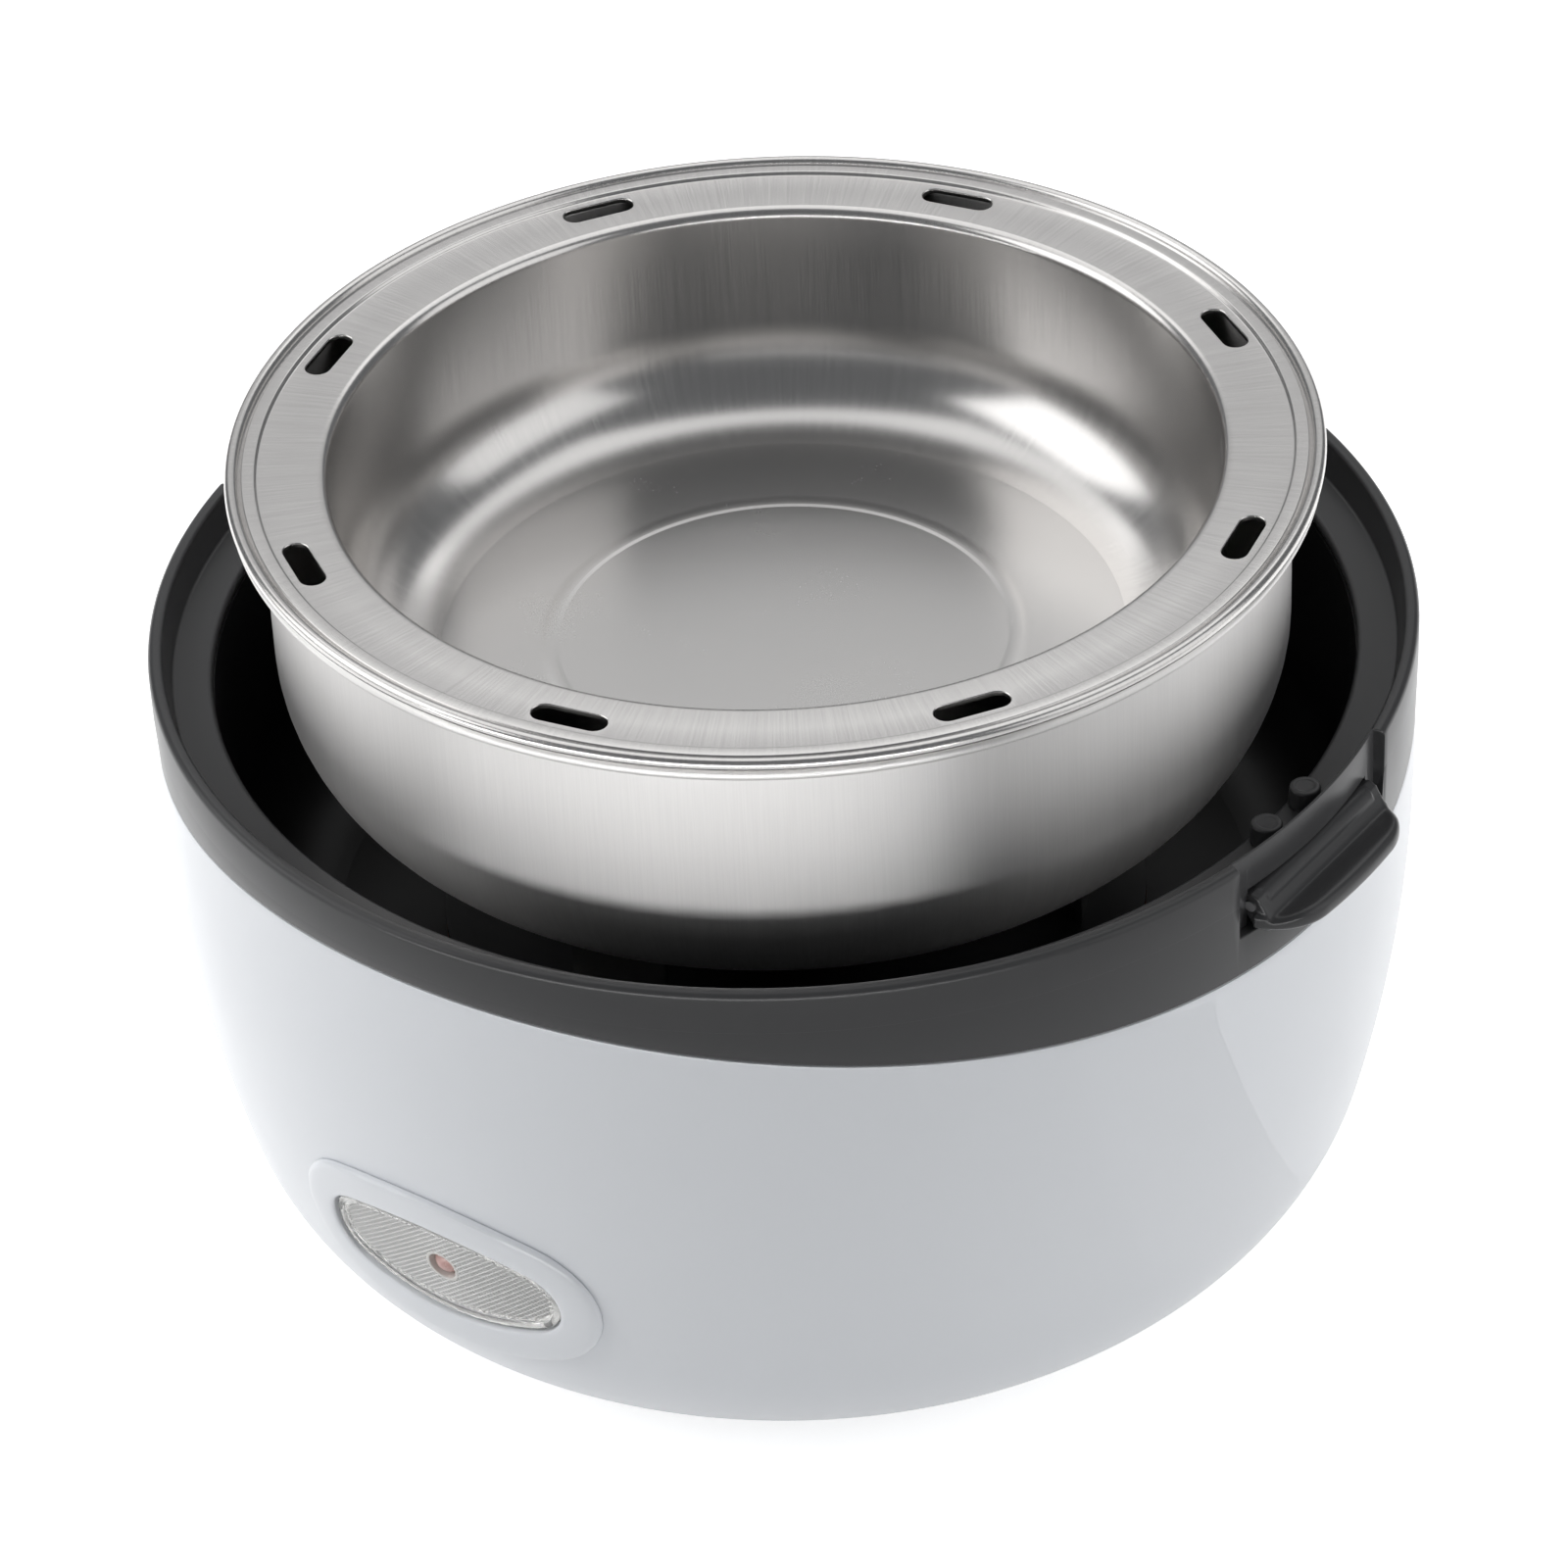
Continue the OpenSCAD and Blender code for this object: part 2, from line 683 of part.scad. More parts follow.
module well_liner() {
    color([0.1, 0.1, 0.1]) difference() {
        union() {
            difference() {
                rotate_extrude()
                    vessel_outline(liner_r, liner_under_z, ledge_under_z - seat_gap,
                        well_corner_r + liner_t);
                rotate_extrude()
                    vessel_outline(well_r, floor_z, rim_z, well_corner_r);
            }
            around(4, 0, 45) liner_ear();
            around(4, post_ring_r, 45)
                translate([0, 0, post_z]) cylinder(r = post_r, h = floor_z - 0.5 - post_z);
        }
        translate([0, 0, liner_under_z - 1]) cylinder(r = opening_r, h = liner_t + 2);
        around(4, ear_ring_r, 45)
            translate([0, 0, ear_z - 1])
                cylinder(r = collar_screw_r + fit_gap, h = ear_t + 2, $fn = small_fn);
        around(4, post_ring_r, 45)
            translate([0, 0, post_z - 1])
                cylinder(r = base_screw_r, h = base_screw_l, $fn = small_fn);
    }
}

// Ear on the liner's wall for a screw into the collar
module liner_ear() {
    intersection() {
        translate([0, 0, ear_z]) union() {
            translate([ear_ring_r, 0, 0]) cylinder(r = ear_r, h = ear_t, $fn = small_fn);
            translate([liner_r - 0.5, -ear_r, 0]) cube([ear_ring_r - liner_r + 0.5, 2 * ear_r, ear_t]);
        }
        cylinder(r = skirt_r - fit_gap, h = rim_z);
    }
}

module collar_screws() {
    color([0.6, 0.6, 0.62]) around(4, ear_ring_r, 45)
        translate([0, 0, ear_z])
            screw(collar_screw_r, collar_screw_l - 1, collar_head_r, collar_head_h);
}

// ---------- heater ----------

module seal_ring() {
    color([0.75, 0.3, 0.25])
        ring(plate_r, opening_r, floor_z, seal_t);
}

module heating_plate() {
    color([0.7, 0.7, 0.72]) difference() {
        union() {
            translate([0, 0, plate_under_z]) cylinder(r = plate_r, h = plate_t);
            around(4, stud_ring_r)
                translate([0, 0, stud_end_z])
                    cylinder(r = stud_r, h = plate_under_z - stud_end_z + 0.5, $fn = small_fn);
        }
        plate_holes();
    }
}

// Blind holes in the plate's underside for the thermostat and the fuse clip
module plate_holes() {
    plate_screw_places()
        translate([0, 0, plate_under_z - 1])
            cylinder(r = plate_screw_r, h = 1 + plate_hole_depth, $fn = small_fn);
}

module plate_screw_places() {
    rotate([0, 0, thermostat_turn])
        for (side = [-1, 1])
            translate([thermostat_ring_r, side * thermostat_hole_gap, 0]) children();
    rotate([0, 0, fuse_turn])
        translate([fuse_ring_r - clip_hole_x + 1.5, 0, 0]) children();
}

module clamp_ring() {
    color([0.6, 0.6, 0.62]) difference() {
        ring(opening_r + clamp_w - 8, opening_r - 8, clamp_z, clamp_t);
        around(4, stud_ring_r)
            translate([0, 0, clamp_z - 1])
                cylinder(r = stud_r + fit_gap, h = clamp_t + 2, $fn = small_fn);
    }
}

module plate_nuts() {
    color([0.65, 0.62, 0.5]) {
        around(4, stud_ring_r)
            translate([0, 0, upper_nut_z]) nut(nut_corner_r, stud_r, nut_h);
        around(2, stud_ring_r)
            translate([0, 0, lower_nut_z]) nut(nut_corner_r, stud_r, nut_h);
    }
}

module heater() {
    color([0.8, 0.8, 0.82]) {
        translate([0, 0, plate_under_z - heater_h]) cylinder(r = heater_r, h = heater_h);
        for (side = [-1, 1])
            translate([side * heater_tab_x - tab_w / 2, heater_r - 2, heater_tab_z()])
                cube([tab_w, tab_l, tab_t]);
    }
}

function heater_tab_z() = plate_under_z - heater_h / 2;

module heater_strap() {
    half_l = stud_ring_r + strap_overhang;
    color([0.6, 0.6, 0.62]) difference() {
        translate([-half_l, -strap_w / 2, strap_z]) cube([2 * half_l, strap_w, clamp_t]);
        around(2, stud_ring_r)
            translate([0, 0, strap_z - 1])
                cylinder(r = stud_r + fit_gap, h = clamp_t + 2, $fn = small_fn);
    }
}

module thermostat() {
    flange_under_z = plate_under_z - flange_sheet_t;
    color([0.15, 0.12, 0.1]) rotate([0, 0, thermostat_turn])
        translate([thermostat_ring_r, 0, 0]) difference() {
            union() {
                translate([0, 0, flange_under_z - thermostat_h])
                    cylinder(r = thermostat_r, h = thermostat_h + 0.3, $fn = small_fn);
                translate([-4, -thermostat_hole_gap - 3.5, flange_under_z])
                    cube([8, 2 * thermostat_hole_gap + 7, flange_sheet_t]);
                for (side = [-1, 1])
                    translate([-tab_w / 2, side * 4 - tab_t / 2, flange_under_z - thermostat_h - 5])
                        cube([tab_w, tab_t, 6]);
            }
            for (side = [-1, 1])
                translate([0, side * thermostat_hole_gap, flange_under_z - 1])
                    cylinder(r = plate_screw_r + fit_gap, h = 3, $fn = small_fn);
        }
}

module thermal_fuse() {
    color([0.7, 0.72, 0.75]) rotate([0, 0, fuse_turn])
        translate([fuse_ring_r, 0, fuse_z])
            rotate([90, 0, 0]) {
                cylinder(r = fuse_r, h = 2 * fuse_half_l, center = true, $fn = small_fn);
                cylinder(r = fuse_lead_r, h = 2 * fuse_lead_l, center = true, $fn = 24);
            }
}

module fuse_clip() {
    flange_under = plate_under_z - flange_sheet_t;
    color([0.6, 0.6, 0.62]) rotate([0, 0, fuse_turn])
        translate([fuse_ring_r, 0, 0]) difference() {
            union() {
                translate([0, 0, fuse_z]) rotate([90, 0, 0])
                    cylinder(r = fuse_r + 0.8, h = clip_l, center = true, $fn = small_fn);
                translate([-clip_hole_x - 1, -clip_l / 2, flange_under])
                    cube([clip_hole_x + 1, clip_l, flange_sheet_t]);
            }
            translate([0, 0, fuse_z]) rotate([90, 0, 0])
                cylinder(r = fuse_r + 0.03, h = clip_l + 2, center = true, $fn = small_fn);
            translate([-2 * fuse_r, -clip_l, plate_under_z]) cube([4 * fuse_r, 2 * clip_l, 4]);
            translate([-clip_hole_x + 1.5, 0, flange_under - 1])
                cylinder(r = plate_screw_r + fit_gap, h = 3, $fn = small_fn);
        }
}

module plate_screws() {
    color([0.65, 0.62, 0.5]) plate_screw_places()
        translate([0, 0, plate_under_z - flange_sheet_t])
            screw(plate_screw_r, flange_sheet_t + plate_hole_depth,
                plate_screw_head_r, plate_screw_head_h);
}

// ---------- power inlet and wiring ----------

module power_inlet() {
    color([0.08, 0.08, 0.08]) at_inlet() difference() {
        union() {
            translate([-flange_w / 2, -flange_h / 2, 0]) cube([flange_w, flange_h, flange_t]);
            translate([-inlet_w / 2, -inlet_h / 2, -inlet_body_l])
                cube([inlet_w, inlet_h, inlet_body_l + 1]);
        }
        difference() {
            translate([-inlet_w / 2 + inlet_wall_t, -inlet_h / 2 + inlet_wall_t, -socket_depth])
                cube([inlet_w - 2 * inlet_wall_t, inlet_h - 2 * inlet_wall_t, socket_depth + 10]);
            // The socket's two cut corners
            for (side = [-1, 1])
                translate([side * (inlet_w / 2 - inlet_wall_t), -inlet_h / 2 + inlet_wall_t, 0])
                    rotate([0, 0, 45]) cube([7, 7, 40], center = true);
        }
        for (side = [-1, 1])
            translate([side * inlet_screw_gap / 2, 0, -1])
                cylinder(r = inlet_screw_r + fit_gap, h = flange_t + 2, $fn = small_fn);
        contact_places() cube([contact_w, contact_h, 4 * inlet_body_l], center = true);
    }
}

// Places of the two line contacts and the earth contact, in the inlet's frame
module contact_places() {
    for (side = [-1, 1])
        translate([side * contact_gap, contact_drop, 0]) children();
    translate([0, -earth_rise, 0]) children();
}

module inlet_pins() {
    color([0.8, 0.7, 0.4]) at_inlet() contact_places() {
        translate([-contact_w / 2, -contact_h / 2, -inlet_body_l - 1])
            cube([contact_w, contact_h, inlet_body_l - 1]);
        translate([-tab_t / 2, -contact_h / 2, -inlet_body_l - tab_l])
            cube([tab_t, contact_h, tab_l]);
    }
}

module inlet_screws() {
    color([0.6, 0.6, 0.62]) at_inlet() for (side = [-1, 1])
        translate([side * inlet_screw_gap / 2, 0, flange_t])
            mirror([0, 0, 1]) screw(inlet_screw_r, inlet_screw_l, inlet_head_r, inlet_head_h);
}

module inlet_nuts() {
    color([0.6, 0.6, 0.62]) at_inlet() for (side = [-1, 1])
        translate([side * inlet_screw_gap / 2, 0, -pocket_wall - inlet_nut_h])
            nut(inlet_nut_r, inlet_screw_r, inlet_nut_h);
}

thermostat_tab_z = plate_under_z - flange_sheet_t - thermostat_h - 5;
thermostat_x = thermostat_ring_r * cos(thermostat_turn);
thermostat_y = thermostat_ring_r * sin(thermostat_turn);
fuse_x = fuse_ring_r * cos(fuse_turn);
fuse_y = fuse_ring_r * sin(fuse_turn);
lead_end = fuse_lead_l * sin(fuse_turn);

// Point on a ring round the middle
function at_ring(r, turn, z) = [r * cos(turn), r * sin(turn), z];

module live_wire() {
    tab_x = thermostat_x - tab_apart;
    tab_y = thermostat_y - tab_apart;
    color([0.45, 0.28, 0.15]) wire([
        [-contact_gap, tab_end_y, live_z], [-contact_gap, tab_end_y - wire_stub, live_z],
        at_ring(wire_ring_r, 120, wire_run_z - 2),
        [tab_x, tab_y, wire_run_z], [tab_x, tab_y, thermostat_tab_z]
    ], wire_r);
}

module neutral_wire() {
    color([0.2, 0.35, 0.65]) wire([
        [contact_gap, tab_end_y, live_z], [contact_gap, tab_end_y - wire_stub, live_z],
        at_ring(wire_ring_r, 45, wire_run_z - 2),
        at_ring(wire_ring_r - 8, 20, fuse_z - 2 * link_rise),
        [fuse_x + lead_end + lead_stub, fuse_y - lead_end - lead_stub, fuse_z],
        [fuse_x + lead_end, fuse_y - lead_end, fuse_z]
    ], wire_r);
}

module earth_wire() {
    ring_z = upper_nut_z - flange_sheet_t;
    color([0.35, 0.6, 0.2]) {
        wire([
            [0, tab_end_y, earth_z], [0, tab_end_y - wire_stub, earth_z],
            [0, stud_ring_r + 4.5, ring_z + wire_r - 0.4]
        ], wire_r);
        translate([0, stud_ring_r, 0])
            ring(4.4, stud_r + 0.05, ring_z, flange_sheet_t);
    }
}

// Short links: thermostat to heater, and fuse to heater
module heater_links() {
    tab_y = heater_r - 2 + tab_l;
    color([0.8, 0.2, 0.15]) {
        wire([
            [thermostat_x + tab_apart, thermostat_y + tab_apart, thermostat_tab_z],
            [thermostat_x + tab_apart, thermostat_y + tab_apart, wire_run_z + 1.5],
            [-heater_tab_x - 3, tab_y + 4, wire_run_z + 3],
            [-heater_tab_x, tab_y, heater_tab_z() - wire_r]
        ], wire_r);
        wire([
            [fuse_x - lead_end, fuse_y + lead_end, fuse_z],
            [fuse_x - lead_end - lead_stub, fuse_y + lead_end + lead_stub, fuse_z],
            [heater_tab_x + 3, tab_y + 4, fuse_z - link_rise],
            [heater_tab_x, tab_y, heater_tab_z() - wire_r]
        ], wire_r);
    }
}

module lamp_leads() {
    back = lamp_l - lamp_tip;
    start_z = lens_z + back * sin(lens_tilt);
    start_y = -lens_r + back * cos(lens_tilt);
    bend_z = start_z + wire_stub * sin(lens_tilt);
    bend_y = start_y + wire_stub * cos(lens_tilt);
    color([0.85, 0.85, 0.8])
        for (side = [-1, 1])
            wire([
                [side * lead_apart, start_y, start_z], [side * lead_apart, bend_y, bend_z],
                at_ring(lead_ring_r, -90 + side * 45, wire_run_z),
                at_ring(lead_ring_r, -90 + side * 90, wire_run_z),
                at_ring(lead_ring_r, -90 + side * 135, wire_run_z),
                at_ring(lead_ring_r, -90 + side * 165, wire_run_z + 1),
                [side * (contact_gap + lead_apart), tab_end_y + 3, live_z + 1]
            ], lead_r);
}

// ---------- indicator ----------

module indicator_bezel() {
    color([0.95, 0.96, 0.97]) at_lens() difference() {
        union() {
            difference() {
                intersection() {
                    translate([0, 0, -8]) linear_extrude(16)
                        oval(bezel_l, bezel_h, lens_end_r + bezel_w);
                    bezel_face(0);
                }
                at_housing() side_solid();
            }
            translate([0, 0, -plug_depth]) linear_extrude(plug_depth + bezel_rise / 2)
                oval(lens_l + 2 * plug_w, lens_h + 2 * plug_w, lens_end_r + plug_w);
        }
        translate([0, 0, -12]) linear_extrude(30) oval(lens_l, lens_h, lens_end_r);
        bezel_trim();
    }
}

// Takes off what the flat plug would leave in front of the bezel's curved face
module bezel_trim() {
    difference() {
        translate([-bezel_l, -bezel_h, -plug_depth]) cube([2 * bezel_l, 2 * bezel_h, 20]);
        bezel_face(0);
    }
}

// Large lying cylinder whose front is the bezel's face, or lies behind it by a drop
module bezel_face(drop) {
    translate([0, 0, bezel_rise - bezel_face_r]) rotate([90, 0, 0])
        cylinder(r = bezel_face_r - drop, h = 3 * bezel_h, center = true, $fn = 360);
}

// The model's own frame, seen from the indicator's frame
module at_housing() {
    rotate([-90 - lens_tilt, 0, 0]) translate([0, lens_r, -lens_z]) children();
}

// Clear cap with a curved front, hollow behind, and a flange at its back
module indicator_lens() {
    hollow = fit_gap + lens_wall_t;
    color([0.85, 0.85, 0.85, 0.6]) at_lens() difference() {
        union() {
            intersection() {
                translate([0, 0, lens_flange_z - 0.5]) linear_extrude(10)
                    oval(lens_l - 2 * fit_gap, lens_h - 2 * fit_gap, lens_end_r - fit_gap);
                bezel_face(lens_recess);
            }
            translate([0, 0, lens_flange_z - lens_flange_t]) linear_extrude(lens_flange_t)
                oval(lens_l + 2 * lens_flange_w, lens_h + 2 * lens_flange_w,
                    lens_end_r + lens_flange_w);
        }
        intersection() {
            translate([0, 0, -12]) linear_extrude(20)
                oval(lens_l - 2 * hollow, lens_h - 2 * hollow, lens_end_r - hollow);
            bezel_face(lens_recess + lens_t);
        }
    }
}

module indicator_lamp() {
    color([0.85, 0.35, 0.35]) at_lens() {
        translate([0, 0, lamp_tip - lamp_l]) cylinder(r = lamp_r, h = lamp_l - lamp_r, $fn = small_fn);
        translate([0, 0, lamp_tip - lamp_r]) sphere(r = lamp_r, $fn = small_fn);
    }
}

// Cup that holds the lamp against the back of the lens
module lamp_holder() {
    color([0.9, 0.9, 0.88]) at_lens() difference() {
        union() {
            translate([0, 0, lamp_tip - lamp_l + 1])
                cylinder(r = holder_r, h = lamp_l - 1 - holder_drop, $fn = small_fn);
            translate([-holder_r - holder_pad_w, -holder_r, lamp_tip - holder_drop - holder_pad_t])
                cube([2 * (holder_r + holder_pad_w), 2 * holder_r, holder_pad_t]);
        }
        translate([0, 0, lamp_tip - lamp_l]) cylinder(r = lamp_r, h = lamp_l + 1, $fn = small_fn);
    }
}

// ---------- base cover ----------

module base_cover() {
    color([0.9, 0.91, 0.92]) difference() {
        union() {
            intersection() {
                housing_solid(0, rim_z);
                cylinder(r = cover_r, h = cover_top_z);
            }
            around(4, post_ring_r, 45)
                translate([0, 0, base_z]) cylinder(r = cover_boss_r, h = cover_boss_h, $fn = small_fn);
        }
        around(4, post_ring_r, 45) {
            translate([0, 0, base_z - 1])
                cylinder(r = base_head_r + fit_gap, h = head_seat_z - base_z + 1, $fn = small_fn);
            translate([0, 0, base_z]) cylinder(r = base_screw_r + fit_gap, h = 20, $fn = small_fn);
        }
        around(4, foot_ring_r) {
            translate([0, 0, base_z - 1])
                cylinder(r = foot_r + fit_gap, h = 1 + foot_pocket, $fn = small_fn);
            translate([0, 0, base_z]) cylinder(r = foot_stem_r, h = 10, $fn = small_fn);
        }
        for (i = [0 : vent_count - 1], side = [0, 180])
            rotate([0, 0, side])
                translate([14 + i * vent_gap, 0, base_z - 1]) vent();
    }
}

// Round-ended vent slot through the base cover
module vent() {
    translate([-vent_w / 2, -vent_l / 2, 0]) cube([vent_w, vent_l, cover_t + 2]);
    for (side = [-1, 1])
        translate([0, side * vent_l / 2, 0]) cylinder(r = vent_w / 2, h = cover_t + 2, $fn = small_fn);
}

module base_screws() {
    color([0.6, 0.6, 0.62]) around(4, post_ring_r, 45)
        translate([0, 0, head_seat_z])
            screw(base_screw_r, base_screw_l, base_head_r, base_head_h);
}

module feet() {
    stem_z = base_z + foot_pocket;
    color([0.2, 0.2, 0.2]) around(4, foot_ring_r) {
        cylinder(r1 = foot_r - 0.5, r2 = foot_r, h = stem_z, $fn = small_fn);
        translate([0, 0, stem_z - 0.5]) cylinder(r = foot_stem_r, h = foot_stem_l, $fn = small_fn);
        translate([0, 0, cover_top_z + seat_gap])
            cylinder(r1 = foot_barb_r, r2 = foot_stem_r - 0.4, h = 2, $fn = small_fn);
    }
}

// ---------- clasps ----------

// Section of a clasp across its hinge line, X outwards and Y up
module clasp_section() {
    translate([hinge_x, hinge_z]) circle(barrel_r, $fn = small_fn);
    polygon([
        [root_x, clasp_under_z], [clasp_r + 1, clasp_under_z], [clasp_r + 1, clasp_edge_z],
        [valley_x, clasp_top_z], [hinge_x + 1.2, hinge_z + 1], [root_x, hinge_z + 1]
    ]);
}

// Outline of a clasp seen from above
module clasp_plan() {
    corner_y = clasp_half_w - clasp_corner_r;
    corner_dist = clasp_r - clasp_corner_r;
    corner_x = sqrt(corner_dist * corner_dist - corner_y * corner_y);
    intersection() {
        circle(clasp_r, $fn = 360);
        translate([hinge_x - 6, -corner_y * clasp_r / corner_dist])
            square([30, 2 * corner_y * clasp_r / corner_dist]);
    }
    for (side = [-1, 1])
        translate([corner_x, side * corner_y]) circle(clasp_corner_r, $fn = small_fn);
    translate([hinge_x - 6, -clasp_half_w]) square([corner_x - hinge_x + 6, 2 * clasp_half_w]);
}

module clasp() {
    ear_x = hinge_x + barrel_r + swing_gap;
    difference() {
        intersection() {
            translate([0, 0, clasp_under_z - 5]) linear_extrude(20) clasp_plan();
            union() {
                rotate([90, 0, 0])
                    linear_extrude(2 * barrel_half_l, center = true) clasp_section();
                intersection() {
                    rotate([90, 0, 0])
                        linear_extrude(2 * clasp_half_w, center = true) clasp_section();
                    translate([ear_x, -30, 0]) cube([30, 60, rim_z]);
                }
            }
        }
        translate([hinge_x, 0, hinge_z]) rotate([90, 0, 0])
            cylinder(r = clasp_pin_r + pin_gap, h = 60, center = true, $fn = small_fn);
        // Softened outer edges, above and below
        for (edge = [[clasp_edge_z, 45], [clasp_under_z, -45]])
            translate([0, 0, edge[0]])
                clasp_bevel(edge[1]);
    }
}

// Small bevel that follows the clasp's outer edge at one height
module clasp_bevel(slope) {
    size = clasp_edge_r;
    lower = slope > 0 ? -size : 0;
    difference() {
        translate([hinge_x, -40, lower - 0.01]) cube([30, 80, size + 0.02]);
        translate([0, 0, lower - 0.02])
            cylinder(
                r1 = slope > 0 ? clasp_r + 0.02 : clasp_r - size - 0.02,
                r2 = slope > 0 ? clasp_r - size - 0.02 : clasp_r + 0.02,
                h = size + 0.04, $fn = 360);
    }
}

module clasp_pin() {
    translate([hinge_x, 0, hinge_z]) rotate([90, 0, 0])
        cylinder(r = clasp_pin_r, h = 2 * pin_half_l, center = true, $fn = small_fn);
}

module clasp_right() { color([0.3, 0.3, 0.31]) clasp(); }
module clasp_left() { color([0.3, 0.3, 0.31]) rotate([0, 0, 180]) clasp(); }
module clasp_pin_right() { color([0.7, 0.7, 0.72]) clasp_pin(); }
module clasp_pin_left() { color([0.7, 0.7, 0.72]) rotate([0, 0, 180]) clasp_pin(); }

// ---------- steel ware ----------

module steam_rack() {
    z = rack_top_z - rack_t;
    foot_z = rack_top_z - rack_h;
    color([0.72, 0.72, 0.74]) difference() {
        translate([0, 0, foot_z]) cylinder(r = rack_r, h = rack_h);
        translate([0, 0, foot_z - 1]) cylinder(r = rack_r - rack_t, h = rack_h - rack_t + 1);
        translate([0, 0, z - 1]) cylinder(r = rack_hole_r, h = rack_t + 2, $fn = small_fn);
        for (row = [1 : 3])
            around(6 * row, rack_hole_step * row)
                translate([0, 0, z - 1])
                    cylinder(r = rack_hole_r, h = rack_t + 2, $fn = small_fn);
        for (turn = [90, 210, 330])
            rotate([0, 0, turn])
                translate([0, 0, foot_z - 1])
                    linear_extrude(rack_h - rack_t - rack_lip_h + 1) rack_window();
    }
}

// Plan of the open space between two of the rack's three legs
module rack_window() {
    half_turn = 60 - rack_leg_turn;
    reach = 2 * rack_r;
    polygon([
        [0, 0], [reach * cos(half_turn), -reach * sin(half_turn)], [reach, 0],
        [reach * cos(half_turn), reach * sin(half_turn)]
    ]);
}

module food_bowl() {
    color([0.75, 0.75, 0.77]) rotate_extrude() {
        difference() {
            vessel_outline(bowl_r, bowl_z, bowl_rim_z, bowl_corner_r);
            vessel_outline(bowl_r - sheet_t, bowl_z + sheet_t, bowl_rim_z + 5,
                bowl_corner_r - sheet_t);
        }
        translate([bowl_r - sheet_t, bowl_rim_z - sheet_t]) square([roll_x - bowl_r + sheet_t, sheet_t]);
        translate([roll_x, bowl_rim_z - bowl_roll_r]) circle(bowl_roll_r, $fn = small_fn);
    }
}

module steam_dish() {
    color([0.8, 0.8, 0.82]) difference() {
        rotate_extrude() dish_outline();
        around(slot_count, slot_ring_r, slot_turn)
            translate([0, 0, dish_flange_z - 1]) steam_slot();
    }
}

// Half section of the dish: cup, mouth bend, flange, rolled edge and the embossed ring
module dish_outline() {
    difference() {
        union() {
            vessel_outline(dish_r + sheet_t, dish_floor_z - sheet_t, dish_top_z,
                dish_corner_r + sheet_t);
            translate([0, dish_flange_z]) square([dish_roll_x, sheet_t]);
            translate([dish_step_r, dish_flange_z]) square([dish_step_w, sheet_t + dish_step_h]);
        }
        difference() {
            vessel_outline(dish_r, dish_floor_z, dish_top_z + 5, dish_corner_r);
            translate([emboss_r - emboss_w / 2, dish_floor_z - 1]) square([emboss_w, 1 + emboss_h]);
        }
        difference() {
            translate([dish_r - 0.01, dish_top_z - mouth_r]) square([mouth_r + 0.01, mouth_r + 1]);
            translate([dish_r + mouth_r, dish_top_z - mouth_r]) circle(mouth_r, $fn = small_fn);
        }
    }
    // Underside of the bend at the mouth
    difference() {
        translate([dish_r + mouth_r, dish_top_z - mouth_r]) circle(mouth_r, $fn = small_fn);
        translate([dish_r + mouth_r, dish_top_z - mouth_r]) circle(mouth_r - sheet_t, $fn = small_fn);
        translate([dish_r + mouth_r, dish_top_z - 2 * mouth_r]) square([mouth_r, 2 * mouth_r]);
        translate([dish_r, dish_top_z - 2 * mouth_r]) square([mouth_r + 1, mouth_r]);
    }
    translate([dish_roll_x, dish_flange_z + dish_roll_r]) circle(dish_roll_r, $fn = small_fn);
}

// Slot with round ends, its length along the rim
module steam_slot() {
    half = (slot_l - slot_w) / 2;
    translate([-slot_w / 2, -half, 0]) cube([slot_w, 2 * half, 4]);
    for (side = [-1, 1])
        translate([0, side * half, 0]) cylinder(r = slot_w / 2, h = 4, $fn = small_fn);
}

housing();
collar();
well_liner();
collar_screws();
seal_ring();
heating_plate();
clamp_ring();
plate_nuts();
heater();
heater_strap();
thermostat();
thermal_fuse();
fuse_clip();
plate_screws();
power_inlet();
inlet_pins();
inlet_screws();
inlet_nuts();
live_wire();
neutral_wire();
earth_wire();
heater_links();
lamp_leads();
indicator_bezel();
indicator_lens();
indicator_lamp();
lamp_holder();
base_cover();
base_screws();
feet();
clasp_right();
clasp_left();
clasp_pin_right();
clasp_pin_left();
steam_rack();
food_bowl();
steam_dish();
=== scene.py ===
"""Electric lunch box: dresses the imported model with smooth, rounded pieces and finished looks."""
import json
import math

import bmesh
import bpy
from mathutils import Matrix, Vector


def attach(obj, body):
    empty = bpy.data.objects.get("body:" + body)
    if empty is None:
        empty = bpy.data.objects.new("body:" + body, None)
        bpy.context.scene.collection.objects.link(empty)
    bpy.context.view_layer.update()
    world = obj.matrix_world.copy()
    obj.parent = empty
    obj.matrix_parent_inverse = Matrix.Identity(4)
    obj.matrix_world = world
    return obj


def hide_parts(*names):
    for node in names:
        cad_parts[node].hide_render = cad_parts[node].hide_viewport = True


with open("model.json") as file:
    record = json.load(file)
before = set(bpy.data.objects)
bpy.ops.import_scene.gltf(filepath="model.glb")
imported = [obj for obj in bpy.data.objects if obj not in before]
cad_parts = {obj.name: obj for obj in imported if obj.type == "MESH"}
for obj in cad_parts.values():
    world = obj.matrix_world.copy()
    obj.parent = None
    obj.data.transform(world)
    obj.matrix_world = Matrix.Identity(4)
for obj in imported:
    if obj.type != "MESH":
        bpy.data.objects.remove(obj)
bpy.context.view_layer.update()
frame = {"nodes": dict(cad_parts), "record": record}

MM = 0.001
NODES = frame["nodes"]

